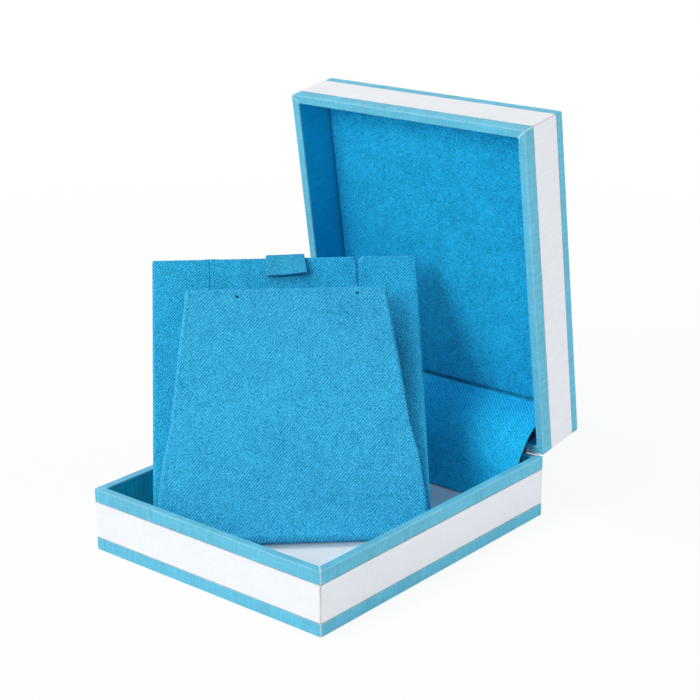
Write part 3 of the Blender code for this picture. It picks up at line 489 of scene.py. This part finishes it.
def skin(bm, rings, closed=False):
    """Join a row of rings, capped unless it closes on itself; gives each face and its places on the ring."""
    faces = []
    for near, far in zip(rings, rings[1:] + (rings[:1] if closed else [])):
        for i in range(len(near)):
            j = (i + 1) % len(near)
            faces.append((bm.faces.new((near[i], near[j], far[j], far[i])), i, j))
    if not closed:
        bm.faces.new(rings[0])
        bm.faces.new(rings[-1][::-1])
    return faces


def bend(before, here, after, radius, limit, steps):
    """Points of a soft bend at here, which starts at most a share of the way to its neighbours."""
    back, ahead = before - here, after - here
    radius = min(radius, back.length * limit, ahead.length * limit)
    start, end = here + back.normalized() * radius, here + ahead.normalized() * radius
    shares = [i / steps for i in range(steps + 1)]
    return [start * (1 - t) ** 2 + here * 2 * t * (1 - t) + end * t * t for t in shares]


def bent(points, radii, limit, steps):
    """Path or closed outline with each corner bent to its own radius; zero keeps it sharp."""
    points = [Vector(point) for point in points]
    result = []
    for i, here in enumerate(points):
        if radii[i]:
            result += bend(points[i - 1], here, points[(i + 1) % len(points)], radii[i], limit, steps)
        else:
            result.append(here)
    return result


def wrap_section(corners, folds, step):
    """Closed section of (inset, depth) points, its folds bent and its long stretches divided."""
    profile = bent(corners, folds, FOLD_LIMIT, FOLD_STEPS)
    result = []
    for here, after in zip(profile, profile[1:] + profile[:1]):
        result.append(here)
        count = int((after - here).length / step)
        result += [here.lerp(after, k / (count + 1)) for k in range(1, count + 1)]
    return result


def arc_corner(cx, cy, radius, start, steps=5):
    angles = [math.radians(start + 90 * i / steps) for i in range(steps + 1)]
    return [(cx + radius * math.cos(angle), cy + radius * math.sin(angle)) for angle in angles]


def side_length(index):
    return DEPTH if index % 2 == 0 else WIDTH


def stations(spans, step):
    """Places round the case's outline: (corner, share of its turn) or (side, share of its length)."""
    result = []
    for kind, index, start, end in spans:
        length = side_length(index) - 2 * CORNER
        count = ARC_STEPS if kind == "corner" else max(2, round(length * (end - start) / step))
        shares = {i / count for i in range(count + 1)}
        if kind == "side":
            close = [x / length for x in MITRE_STATIONS]
            shares |= {x for x in close if start == 0} | {1 - x for x in close if end == 1}
            if start == 0 and end == 1:
                near = [x / length for x in (-CREASE_HALF, 0, CREASE_HALF)]
                shares |= {share + x for side, share in CREASES if side == index for x in near}
        for i in sorted(shares):
            place = (kind, index, start + (end - start) * i)
            if not result or result[-1] != place:
                result.append(place)
    return result


def outline_point(place, inset):
    """Point of the outline at an inset. Sides: 0 right, 1 front, 2 left, 3 back; corner k follows side k."""
    kind, index, share = place
    radius = max(CORNER - inset, LEAST_CORNER)
    x, y = WIDTH / 2 - inset - radius, DEPTH / 2 - inset - radius
    centres = ((x, -y), (-x, -y), (-x, y), (x, y))
    if kind == "corner":
        angle = -(index + share) * math.pi / 2
        return Vector(centres[index]) + Vector((math.cos(angle), math.sin(angle))) * radius
    normal = Vector(((1, 0), (0, -1), (-1, 0), (0, 1))[index]) * radius
    return Vector(centres[index - 1]).lerp(Vector(centres[index]), share) + normal


def mitre_distance(point):
    """How far a point lies from the diagonal of its corner."""
    return abs((WIDTH / 2 - abs(point.x)) - (DEPTH / 2 - abs(point.y))) / math.sqrt(2)


def crease_depth(place):
    """How far a wall's fine upright creases press in at a place."""
    kind, index, share = place
    depth = 0.0
    for side, middle in CREASES:
        if kind == "side" and index == side:
            away = abs(share - middle) * side_length(index)
            depth += CREASE_DEPTH * max(0.0, 1 - away / CREASE_HALF)
    return depth


def wrinkling(flat, depth, seed):
    spot = Vector((flat.x, flat.y, depth * 0.45 + seed)) * 330
    return noise.noise(spot) * 0.6 + noise.noise(spot * 2.7) * 0.4


def mitre_wear(flat, depth, seed, front):
    """Wear of the paper's edge in a mitre: patchy in front, and next to none at the hinge."""
    patchy = 0.45 + 0.9 * max(0.0, noise.noise(Vector((flat.x * 40, flat.y * 40, depth * 260 + seed))) + 0.25)
    most = front if flat.y < 0 else BACK_MITRE_WEAR
    return max(0.0, 1 - mitre_distance(flat) / MITRE_WEAR_HALF) * patchy * most


def stripe_wear_and_shadow(wear_and_light, depth, ends):
    """Rubbing, with that at the seams of a stripe, or a painted contact shadow on the edge that the tray
    stands on.
    """
    if depth > TRAY_HEIGHT - SEAM_REACH:
        # Painted contact shadow where the foot stands on the floor
        return FOOT_CONTACT_SHADOW
    return max(wear_and_light, SEAM_WEAR) if min(abs(depth - end) for end in ends) < SEAM_REACH else wear_and_light


def wrap_rings(bm, profile, places, home, wrinkle, seed, stripe, creased):
    """Rings of vertices of a section swept round the case, with their rubbing and painted light."""
    layers = bm.verts.layers.float
    wear_and_light_layer = layers.get("wear_and_light") or layers.new("wear_and_light")
    outer_depths = [point.y for point in profile if point.x < PAPER / 10]
    ends = min(outer_depths), max(outer_depths)
    rings = []
    for place in places:
        ring = []
        for inset, depth in profile:
            flat = outline_point(place, inset)
            outward = (flat - outline_point(place, inset + 0.5 * MM)).normalized()
            here = Vector((flat.x, flat.y, depth))
            groove = max(0.0, 1 - mitre_distance(flat) / GROOVE_HALF)
            shift = wrinkling(flat, depth, seed) * wrinkle
            outer = inset < OUTER_INSET
            if outer:
                shift -= GROOVE_DEPTH * groove + (crease_depth(place) if creased else 0.0)
                here += Vector((*outward, 0)) * shift
            elif depth < RIM_DEPTH:
                here.z += RIM_GROOVE_DEPTH * groove + abs(shift) * 0.5
            wear_and_light = mitre_wear(flat, depth, seed, STRIPE_MITRE_WEAR if stripe else 1.0)
            if stripe and outer:
                wear_and_light = stripe_wear_and_shadow(wear_and_light, depth, ends)
            # On the fold over the rim a pale line: partly rubbed paper, partly painted highlight
            elif not stripe and max(inset, depth) < FOLD_HIGHLIGHT_REACH:
                wear_and_light = max(wear_and_light, FOLD_WEAR_AND_HIGHLIGHT)
            vert = bm.verts.new(home @ here)
            vert[wear_and_light_layer] = wear_and_light
            ring.append(vert)
        rings.append(ring)
    return rings


def add_wrap(bm, profile, places, home, wrinkle, seed=0.0, stripe=False, shaded_inside=False, creased=False):
    """Sweep a paper's section round the case, with a fine groove in each mitre and soft wrinkles.

    A stripe runs all round, rubbed at its seams; other wraps are paler where they fold over the rim: rubbing
    and painted highlight.
    """
    rings = wrap_rings(bm, profile, places, home, wrinkle, seed, stripe, creased)
    inner = [inset > SHADE_INSET and depth > SHADE_DEPTH for inset, depth in profile]
    for face, i, j in skin(bm, rings, stripe):
        # Inner faces take the second, darker material: painted shade
        if shaded_inside and inner[i] and inner[j]:
            face.material_index = 1


# Paper wraps of the case
def rim_spans():
    """Right, front and left walls and the ends of the back wall outside the hinge."""
    end = 0.5 - REBATE_HALF / (WIDTH - 2 * CORNER)
    spans = [("side", 3, 1 - end, 1), ("corner", 3, 0, 1)]
    for index in (0, 1, 2):
        spans += [("side", index, 0, 1), ("corner", index, 0, 1)]
    return spans + [("side", 3, 0, end)]


def add_rim_fold(bm, home, lower, stop):
    """The wrap over the rim: down the outside, over the top and down inside to the floor; inside it, darker
    paper paints shade.
    """
    over = RIM + PAPER
    corners = ((0, lower), (0, lower - SEAM), (0, RIM + RIM_LINE), (0, RIM), (RIM_LINE, RIM),
               (WALL - RIM_LINE, RIM), (WALL, RIM), (WALL, RIM + RIM_LINE), (WALL, stop),
               (WALL - PAPER, stop), (WALL - PAPER, over), (PAPER, over), (PAPER, lower))
    folds = (0, 0, 0, RIM_FOLD, 0, 0, RIM_FOLD, 0, 0, 0, 0, 0, 0)
    profile = wrap_section(corners, folds, SECTION_STEP)
    add_wrap(bm, profile, stations(rim_spans(), RIM_STEP), home, RIM_WRINKLE, shaded_inside=True, creased=True)


def add_back_fold(bm, home, lower):
    """The wrap of the back wall, turned in over the rebate of the knuckles."""
    inner = BOARD_BACK - PAPER
    corners = ((0, lower), (0, REBATE), (inner, REBATE), (inner, REBATE + PAPER), (PAPER, REBATE + PAPER),
               (PAPER, lower))
    profile = wrap_section(corners, (0, REBATE_FOLD, 0, 0, 0, 0), SECTION_STEP)
    add_wrap(bm, profile, stations([("side", 3, *BACK_SHARES)], BACK_STEP), home, BACK_WRINKLE)


def add_end_blocks(bm, home, lower, stop):
    """Beyond the knuckles the back wall rises round the pin's ends; inside it, darker paper paints shade."""
    inner = BOARD_BACK + PAPER
    corners = ((0, lower), (0, PIN_GAP), (inner, PIN_GAP), (inner, stop), (BOARD_BACK, stop),
               (BOARD_BACK, REBATE + PAPER), (PAPER, REBATE + PAPER), (PAPER, lower))
    profile = wrap_section(corners, (0, BLOCK_FOLD, BLOCK_FOLD, 0, 0, 0, 0, 0), SECTION_STEP)
    for shares in BLOCK_SHARES:
        add_wrap(bm, profile, stations([("side", 3, *shares)], BLOCK_STEP), home, FLAT_WRINKLE, shaded_inside=True)


def make_rim_wrap(half, home, height, stripe, material, shade_paper):
    lower, stop = stripe - SEAM / 2, height - INNER_STOP
    bm = bmesh.new()
    add_rim_fold(bm, home, lower, stop)
    add_back_fold(bm, home, lower)
    add_end_blocks(bm, home, lower, stop)
    wrap = new_object(f"{half}_rim_wrap", bm, material)
    # The second material paints shade inside the walls
    wrap.data.materials.append(shade_paper)
    declare(wrap, half, f"{half}_rim_paper")


def make_stripe(half, part, corners, folds, home, material, seed):
    bm = bmesh.new()
    profile = wrap_section(corners, folds, STRIPE_SECTION_STEP)
    all_round = [(kind, index, 0, 1) for index in range(4) for kind in ("side", "corner")]
    places = stations(all_round, STRIPE_STEP)[:-1]
    add_wrap(bm, profile, places, home, FLAT_WRINKLE, seed, stripe=True)
    wrap = new_object(f"{half}_{part}_wrap", bm, material)
    declare(wrap, half, f"{half}_{part}_paper")


def make_band(half, home, height, stripes, material):
    upper, lower = stripes[0] + SEAM / 2, height - stripes[1] - SEAM / 2
    line = 0.16 * MM
    corners = ((0, upper), (0, upper + line), (0, lower - line), (0, lower), (PAPER, lower), (PAPER, upper))
    make_stripe(half, "band", corners, (0,) * 6, home, material, 0.01)


def make_foot_wrap():
    """The blue foot of the tray, turned in under its bottom."""
    start, inner = TRAY_HEIGHT - TRAY_STRIPES[1] + SEAM / 2, TRAY_HEIGHT - PAPER
    corners = ((0, start), (0, start + 0.12 * MM), (0, TRAY_HEIGHT - 0.3 * MM), (0, TRAY_HEIGHT),
               (FOOT_TURN_IN, TRAY_HEIGHT), (FOOT_TURN_IN, inner), (PAPER, inner), (PAPER, start))
    folds = (0, 0, 0, 0.12 * MM, 0, 0, 0, 0)
    make_stripe("tray", "foot", corners, folds, TRAY_HOME, tray_cyan, 0.02)


# Cloth-covered boards of the card and the lid
def segment_distance(points, polygon):
    """Distance from each point to the nearest side of a closed polygon."""
    best = np.full(len(points), np.inf)
    for a, b in zip(polygon, np.roll(polygon, -1, axis=0)):
        d = b - a
        t = np.clip(((points - a) @ d) / max(d @ d, 1e-18), 0, 1)
        best = np.minimum(best, np.linalg.norm(points - (a + t[:, None] * d), axis=1))
    return best


def is_inside(points, polygon):
    inside = np.zeros(len(points), bool)
    for a, b in zip(polygon, np.roll(polygon, -1, axis=0)):
        cross = (a[1] > points[:, 1]) != (b[1] > points[:, 1])
        x = (b[0] - a[0]) * (points[:, 1] - a[1]) / (b[1] - a[1] + 1e-30) + a[0]
        inside ^= cross & (points[:, 0] < x)
    return inside


def inset_ring(loop, polygon, depth):
    """Points of a loop moved in by a depth, where they stay clear of its other sides."""
    ring = []
    for i, here in enumerate(loop):
        along = (loop[(i + 1) % len(loop)] - loop[i - 1]).normalized()
        ring.append(tuple(here + Vector((-along.y, along.x)) * depth))
    ring = np.array(ring)
    keep = is_inside(ring, polygon) & (segment_distance(ring, polygon) > depth * 0.97)
    return [Vector(point) for point in ring[keep]]


def inner_grid(polygon, spacing, margin, lines):
    """Points in staggered rows inside a polygon, and along level lines, clear of its edge by a margin."""
    low, high = polygon.min(0), polygon.max(0)
    points, row, y = [], 0, low[1]
    while y < high[1]:
        x = low[0] + (row % 2) * spacing / 2
        while x < high[0]:
            points.append((x, y))
            x += spacing
        y += spacing * 0.87
        row += 1
    for y in lines:
        points += [(low[0] + i * spacing, y) for i in range(1, int((high[0] - low[0]) / spacing))]
    grid = np.array(points)
    keep = is_inside(grid, polygon) & (segment_distance(grid, polygon) > margin)
    return [Vector(point) for point in grid[keep]]


def rolled_half(thick, radius, distance):
    """Half thickness at a distance from the edge, which is rolled to a radius."""
    reach = radius - min(distance, radius)
    return thick / 2 - radius + math.sqrt(max(0.0, radius ** 2 - reach ** 2))


def rounded_foot(thick, height):
    """Half thickness at a height above the foot, which is half a round."""
    rest = max(0.0, thick / 2 - height)
    return math.sqrt(max(0.0, (thick / 2) ** 2 - rest ** 2))


def make_slab(name, outline, thick, radius, place, material, relief, spacing=1.1 * MM, foot=None, crown=None,
              slit_places=(), lines=(), rings=()):
    """Cloth-covered board: an outline filled with small faces, its edges rolled to a radius."""
    loop = []
    for a, b in zip(outline, outline[1:] + outline[:1]):
        a, b = Vector(a), Vector(b)
        count = max(1, round((b - a).length / (spacing * 0.8)))
        loop += [a.lerp(b, i / count) for i in range(count)]
    polygon = np.array([tuple(point) for point in loop])
    depths = [radius * (1 - math.cos(math.radians(angle))) for angle in (28, 50, 70, 90)]
    depths += ([thick / 2] if foot is not None else []) + list(rings)
    points = list(loop)
    for depth in depths:
        points += inset_ring(loop, polygon, depth)
    points += inner_grid(polygon, spacing, max(depths) + spacing * 0.35, lines)
    edges = [(i, (i + 1) % len(loop)) for i in range(len(loop))]
    verts, _, faces, *_ = geometry.delaunay_2d_cdt(points, edges, [], 1, 1e-7)
    flat = np.array([tuple(v) for v in verts])
    distances = segment_distance(flat, polygon)
    bm = bmesh.new()
    layers = ([], [])
    for (a, b), distance in zip(flat, distances):
        by_slit = any(abs(a - x) < SLIT_SIDE for x in slit_places) and b > PANEL_TOP - SLIT_REACH
        half = rolled_half(thick, SLIT_EDGE if by_slit else radius, distance)
        if foot is not None and b - foot < thick / 2:
            half = min(half, rounded_foot(thick, b - foot))
        half = max(half, LEAST_HALF)
        for sign, layer in ((1, layers[0]), (-1, layers[1])):
            lift = relief(a, b, distance, sign) if distance > radius * 0.05 else 0.0
            swell = crown(a, b) if crown and sign > 0 else 0.0
            layer.append(bm.verts.new(place @ Vector((a, b, sign * half + lift + swell))))
    front, back = layers
    for face in faces:
        bm.faces.new([front[i] for i in face])
        bm.faces.new([back[i] for i in reversed(face)])
    sides = [(face[i], face[(i + 1) % 3]) for face in faces for i in range(3)]
    shared = set(sides)
    for i, j in sides:
        if (j, i) not in shared:
            bm.faces.new((front[j], front[i], back[i], back[j]))
    loose = [v for v in bm.verts if not v.link_faces]
    bmesh.ops.delete(bm, geom=loose, context="VERTS")
    return new_object(name, bm, material, angle=60)


def soft_relief(amount, scale, seed):
    """Relief of a slab's faces that fades out towards its edge."""
    def relief(a, b, distance, sign):
        spot = Vector((a * scale, b * scale, seed + sign * 3))
        fade = min(1.0, distance / (3 * MM))
        return (noise.noise(spot) + 0.45 * noise.noise(spot * 2.6)) * amount * fade
    return relief


# Display card
def slit_outline(x, mouth):
    """A slit's outline in the panel's top edge, from its right side down and up its left."""
    near = CUT_SLIT if mouth < OPEN_SLIT else OPEN_SLIT
    right = [(near + mouth * 0.45, 0), (near + mouth * 0.08, SLIT_MOUTH), (near, SLIT_NECK),
             (near * 0.9, SLIT_WAIST), (near * 0.7, SLIT_DEPTH)]
    side = [(x + away, PANEL_TOP - depth) for away, depth in right]
    return side + [(x - away, PANEL_TOP - depth) for away, depth in reversed(right)]


def make_panel():
    r, h, t = CARD_CORNER, PANEL_HALF, PANEL_TOP
    top = [point for x, mouth, _ in reversed(SLITS) for point in slit_outline(x, mouth)]
    outline = [(-h, 0.0), (h, 0.0)] + arc_corner(h - r, t - r, r, 0) + top + arc_corner(-h + r, t - r, r, 90)
    soft = soft_relief(0.16 * MM, 62, 2.0)

    def relief(a, b, distance, sign):
        lift = soft(a, b, distance, sign)
        along = (b - (t - GAPE_REACH)) / GAPE_REACH
        for x, _, gape in SLITS:
            if along > 0:
                bulge = gape * GAPE_LIFT * along * max(0.0, 1 - abs(a - x) / GAPE_HALF)
                lift += sign * bulge * (1 if a > x else -0.3)
        return lift

    place = CARD @ Matrix.Translation((0, 0, PANEL_THICK / 2))
    panel = make_slab("card_panel_cover", outline, PANEL_THICK, PANEL_EDGE, place, panel_suede, relief,
                      foot=0.0, slit_places=[x for x, _, _ in SLITS])
    declare(panel, "card", "card_panel_suede")


def pierce(piece):
    """Cut the two small post holes through the flap's cover."""
    bm = bmesh.new()
    r = POST_HOLE_RADIUS
    for x, y in POST_HOLES:
        bmesh.ops.create_cone(bm, cap_ends=True, segments=20, radius1=r, radius2=r, depth=CUTTER_LENGTH,
                              matrix=FLAP @ Matrix.Translation((x, y, 0)))
    cutter = new_object("post_hole_cutter", bm, panel_suede)
    cut = piece.modifiers.new("cut", "BOOLEAN")
    cut.operation, cut.object, cut.solver = "DIFFERENCE", cutter, "EXACT"
    bpy.context.view_layer.update()
    pierced = bpy.data.meshes.new_from_object(piece.evaluated_get(bpy.context.evaluated_depsgraph_get()))
    piece.modifiers.clear()
    piece.data = pierced
    bpy.data.objects.remove(cutter)


def make_flap():
    side = [(FLAP_HALF, FLAP_FOOT)]
    tall = FLAP_TOP - FLAP_START
    side += [(FLAP_HALF * width, FLAP_START + tall * height) for height, width in FLAP_SHARES]
    top_x, _ = side.pop()
    side += arc_corner(top_x - CARD_CORNER, FLAP_TOP - CARD_CORNER, CARD_CORNER, 0)
    outline = side + [(-x, y) for x, y in reversed(side)]
    waves = soft_relief(0.13 * MM, 55, 9.0)

    def rolled(a, b, distance, sign):
        ridge = ROLL_HEIGHT * math.exp(-(((distance - ROLL_PLACE) / ROLL_WIDTH) ** 2))
        return waves(a, b, distance, sign) + sign * ridge

    flap = make_slab("card_flap_cover", outline, FLAP_THICK, FLAP_EDGE, FLAP, flap_suede, rolled,
                     foot=FLAP_FOOT, rings=ROLL_RINGS)
    pierce(flap)
    declare(flap, "card_flap", "card_flap_suede")


def make_fold():
    """The suede that runs on round the foot from the panel to the flap."""
    turns = [math.pi * i / FOLD_ROUND_STEPS for i in range(FOLD_ROUND_STEPS + 1)]
    outer = [(FOLD_UP - FOLD_DROP * math.sin(t), FOLD_OUT - FOLD_REACH * math.cos(t)) for t in turns]
    inner = [(up + FOLD_SKIN, FOLD_OUT + (out - FOLD_OUT) * (1 - FOLD_SKIN_SHARE)) for up, out in outer]
    section = outer + inner[::-1]
    bm = bmesh.new()
    rings = []
    for k in range(FOLD_PIECES + 1):
        x = -FOLD_HALF + 2 * FOLD_HALF * k / FOLD_PIECES
        rings.append([bm.verts.new(CARD @ Vector((x, up, out))) for up, out in section])
    skin(bm, rings)
    fold = new_object("card_fold_wrap", bm, flap_suede, angle=50)
    start, end = (CARD @ Vector((0, up, FOLD_OUT)) for up in FOLD_BLEND)
    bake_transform(fold, "card_fold", "card", start, end)
    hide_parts("card_fold_spine")


# Strips
def strip_centre(path):
    """A path's points at short steps, their normals and how far along it each lies."""
    dense = []
    for a, b in zip(path, path[1:]):
        count = max(1, round((b - a).length / STRIP_STEP))
        dense += [a.lerp(b, i / count) for i in range(count)]
    dense.append(path[-1])
    normals, runs, last = [], [0.0], len(dense) - 1
    for i in range(len(dense)):
        along = dense[min(i + 1, last)] - dense[max(i - 1, 0)]
        normals.append(Vector((-along.y, along.x)).normalized())
    for a, b in zip(dense, dense[1:]):
        runs.append(runs[-1] + (b - a).length)
    return list(zip(dense, normals, runs))


def make_strip(name, path, start, end, thick, material, columns, place=Matrix.Identity(4), shape=None):
    """Strip from start to end in x, laid along a (y, z) path in its place; gives its length too."""
    centre = strip_centre(path)
    length = centre[-1][2]
    shares = [k / columns for k in range(columns + 1)]
    around = [(1, s) for s in shares] + [(-1, s) for s in reversed(shares)]
    bm = bmesh.new()
    rings = []
    for point, normal, run in centre:
        ring = []
        for sign, s in around:
            shift, lift = shape(s, run / length) if shape else (0.0, 0.0)
            soft = min(1.0, 0.35 + min(s, 1 - s) * (end - start) / STRIP_EDGE)
            q = point + normal * (sign * thick / 2 * soft + lift)
            ring.append(bm.verts.new(place @ Vector((start + (end - start) * s + shift, q.x, q.y))))
        rings.append(ring)
    skin(bm, rings)
    return new_object(name, bm, material, angle=60), length


def from_hinge(forward, up):
    """Side view place (y, z) at a distance before the hinge and over it."""
    return Vector((HINGE_Y - forward, TRAY_HEIGHT + up))


def open_lid(along, depth):
    """Side view place (y, z) at a distance along the open lid from the hinge and a depth into it."""
    cos, sin = math.cos(OPEN), math.sin(OPEN)
    return from_hinge(along * cos - depth * sin, along * sin + depth * cos)


def make_hinge_cloth():
    in_tray = [from_hinge(before, -under) for before, under in COVER_IN_TRAY]
    in_lid = [open_lid(along, depth) for along, depth in COVER_IN_LID]
    path = bent(in_tray + in_lid, COVER_BENDS, CURVE_LIMIT, CURVE_STEPS)

    def shape(s, t):
        lift = noise.noise(Vector((s * 5.0, t * 4.0, 3.1))) * COVER_WAVE * math.sin(math.pi * min(1, t))
        shift = noise.noise(Vector((t * 60, 1.7, 0))) * COVER_FRAY if s > 0.98 else 0.0
        return shift, lift

    left, right = (round(corner.x, 6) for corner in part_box("hinge_cover"))
    cover, length = make_strip("hinge_cover_cloth", path, left, right, COVER_THICK, cover_lightened_suede,
                               COVER_COLUMNS, shape=shape)
    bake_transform(cover, "tray", "lid", (0, *in_tray[-1]), (0, *in_lid[0]))
    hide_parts("hinge_cover")


def make_springs():
    controls = (from_hinge(SPRING_FOOT, -SPRING_REACH), from_hinge(SPRING_ARCH, SPRING_LIFT),
                open_lid(SPRING_ARCH, -SPRING_LIFT), open_lid(SPRING_FOOT, SPRING_REACH))
    path = []
    for i in range(SPRING_STEPS + 1):
        t = i / SPRING_STEPS
        weights = ((1 - t) ** 3, 3 * t * (1 - t) ** 2, 3 * t * t * (1 - t), t ** 3)
        path.append(sum((w * p for w, p in zip(weights, controls)), Vector((0, 0))))
    for side, x in (("left", -SPRING_PLACE), ("right", SPRING_PLACE)):
        strip, _ = make_strip(f"hinge_spring_{side}_strip", path, x - SPRING_WIDTH / 2, x + SPRING_WIDTH / 2,
                              SPRING_THICK, spring_steel, SPRING_COLUMNS)
        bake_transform(strip, "tray", "lid", (0, *path[2]), (0, *path[-3]))
        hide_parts(f"hinge_spring_{side}")


def make_liner():
    back = LID_HEIGHT - INNER_STOP - LINER_BOARD - GLUE_LINE
    x, y, r = LINER_HALF_X, LINER_HALF_Y, LINER_CORNER
    outline = []
    for quarter, (right, back_way) in enumerate(((1, 1), (-1, 1), (-1, -1), (1, -1))):
        outline += arc_corner(right * (x - r), back_way * (y - r), r, 90 * quarter)

    def crown(a, b):
        pressed = PRESS_DEPTH * math.exp(-(((b - CREASE_PLACE) / PRESS_WIDTH) ** 2))
        return LINER_CROWN * (1 - abs(a / x) ** CROWN_POWER) * (1 - abs(b / y) ** CROWN_POWER) - pressed

    soft = soft_relief(0.1 * MM, 48, 5.0)

    def relief(a, b, distance, sign):
        return soft(a, b, distance, sign) if sign > 0 else 0.0

    # The pad's own z points out of it to the lid's rim
    middle = Matrix.Translation((0, 0, back - LINER_THICK / 2))
    place = LID_HOME @ middle @ Matrix.Rotation(math.pi, 4, "Y")
    pad = make_slab("lid_liner_cushion", outline, LINER_THICK, LINER_EDGE, place, liner_suede, relief,
                    spacing=LINER_SPACING, crown=crown, lines=CREASE_LINES)
    declare(pad, "lid", "lid_liner_pad")


def make_tab():
    over, front = PANEL_TOP + TAB_GAP, PANEL_THICK + TAB_GAP
    points = ((PANEL_TOP - TAB_BACK, -TAB_GAP), (over, -TAB_GAP), (over, front),
              (PANEL_TOP - TAB_FRONT, front + TAB_LIFT))
    path = bent(points, (0, TAB_FOLD, TAB_FOLD, 0), CURVE_LIMIT, CURVE_STEPS)

    def shape(s, t):
        flare = max(0.0, t - 0.6) / 0.4
        crumple = noise.noise(Vector((s * 3.0, t * 4.0, 0.4))) * TAB_CRUMPLE
        return (s - TAB_LEFT_SHARE) * TAB_FLARE * flare, flare * (crumple + TAB_SAG - TAB_CURL * s * s)

    # In the card's frame y runs up it and z out of its front
    tab, length = make_strip("card_pull_tab_cloth", path, -TAB_WIDTH / 2, TAB_WIDTH / 2, TAB_THICK, tab_suede,
                             TAB_COLUMNS, CARD, shape)
    declare(tab, "card", "card_pull_tab")


def dress_cad():
    """Give the solids that stay in sight their materials."""
    looks = {
        "tray_core": board_grey, "lid_core": board_grey, "lid_liner_board": board_grey,
        "card_panel_board": board_grey, "card_flap_board": board_grey,
        "tray_base_paper": tray_white, "tray_floor_card": card_white, "lid_top_paper": lid_cyan,
        # The leaves and rivets take the darkened steel: painted shade
        "tray_hinge_leaf": shade_darkened_steel, "lid_hinge_leaf": shade_darkened_steel, "hinge_pin": bright_steel,
    }
    for name, node in frame["nodes"].items():
        material = shade_darkened_steel if "_rivet_" in name else looks.get(name)
        if material:
            node.data.materials.clear()
            node.data.materials.append(material)


# Camera, stage and light
def make_camera():
    turned = Matrix.Rotation(CAMERA_TURN, 4, "Z")
    risen = Matrix.Rotation(math.pi / 2 - CAMERA_RISE, 4, "X")
    rolled = Matrix.Rotation(CAMERA_ROLL, 4, "Z")
    data = bpy.data.cameras.new("photo_camera")
    data.sensor_width = SENSOR
    data.lens = LENS
    data.clip_start, data.clip_end = CLIP
    camera = bpy.data.objects.new("photo_camera", data)
    bpy.context.scene.collection.objects.link(camera)
    camera.matrix_world = turned @ risen @ rolled @ Matrix.Translation(CAMERA_PLACE * WIDTH)
    bpy.context.scene.camera = camera


def seen_directly(tree):
    """One where the camera sees a surface itself or in metal or glass, nought where it lights others."""
    path = tree.nodes.new("ShaderNodeLightPath")
    seen = path.outputs["Is Camera Ray"]
    for ray in ("Is Glossy Ray", "Is Transmission Ray"):
        most = tree.nodes.new("ShaderNodeMath")
        most.operation = "MAXIMUM"
        tree.links.new(seen, most.inputs[0])
        tree.links.new(path.outputs[ray], most.inputs[1])
        seen = most.outputs[0]
    return seen


def mix_shaders(tree, share, first, second, output):
    mix = tree.nodes.new("ShaderNodeMixShader")
    for slot, socket in enumerate((share, first, second)):
        tree.links.new(socket, mix.inputs[slot])
    tree.links.new(mix.outputs[0], tree.nodes[output].inputs["Surface"])


def floor_material():
    """Pale floor that keeps the object's shadow near it and turns to plain white further off."""
    s = Shader("floor_white", 0.9, specular=0.1)
    s.bsdf.inputs["Base Color"].default_value = (*FLOOR_GREY, 1)
    glow = s.node("ShaderNodeEmission", {"Color": PURE_WHITE, "Strength": 1.0})
    fade = s.ramp(s.vector("LENGTH", s.place)["Value"], *FLOOR_FADE)
    share = s.math("MULTIPLY", seen_directly(s.tree), fade)
    mix_shaders(s.tree, share, s.bsdf.outputs[0], glow.outputs[0], "Material Output")
    return s.material


def make_stage():
    bm = bmesh.new()
    bmesh.ops.create_circle(bm, cap_ends=True, segments=96, radius=FLOOR_RADIUS)
    floor = new_object("floor", bm, floor_material())
    world = bpy.data.worlds.new("studio")
    bpy.context.scene.world = world
    world.use_nodes = True
    tree = world.node_tree
    sky = tree.nodes["Background"]
    white = tree.nodes.new("ShaderNodeBackground")
    for ground, colour, strength in ((sky, SKY_COLOUR, SKY_STRENGTH), (white, PURE_WHITE, 1.0)):
        ground.inputs["Color"].default_value = colour
        ground.inputs["Strength"].default_value = strength
    mix_shaders(tree, seen_directly(tree), sky.outputs[0], white.outputs[0], "World Output")


def make_lamp(name, place, size, power):
    data = bpy.data.lights.new(name, "AREA")
    data.shape = "RECTANGLE"
    data.size, data.size_y = size
    data.energy = power
    lamp = bpy.data.objects.new(name, data)
    bpy.context.scene.collection.objects.link(lamp)
    aim = (Vector(LAMP_AIM) - Vector(place)).to_track_quat("-Z", "Y")
    lamp.matrix_world = Matrix.LocRotScale(place, aim, None)


dress_cad()
for half, home, height, stripes, cyan, white, shade_paper in (
    ("tray", TRAY_HOME, TRAY_HEIGHT, TRAY_STRIPES, tray_cyan, tray_white, tray_shade_paper),
    ("lid", LID_HOME, LID_HEIGHT, LID_STRIPES, lid_cyan, lid_white, lid_shade_paper),
):
    make_rim_wrap(half, home, height, stripes[0], cyan, shade_paper)
    make_band(half, home, height, stripes, white)
make_foot_wrap()
make_panel()
make_flap()
make_fold()
make_hinge_cloth()
make_springs()
make_liner()
make_tab()
make_camera()
make_stage()
for lamp_name, lamp_facts in LAMPS.items():
    make_lamp(lamp_name, *lamp_facts)
bpy.context.scene.view_settings.view_transform = "Standard"
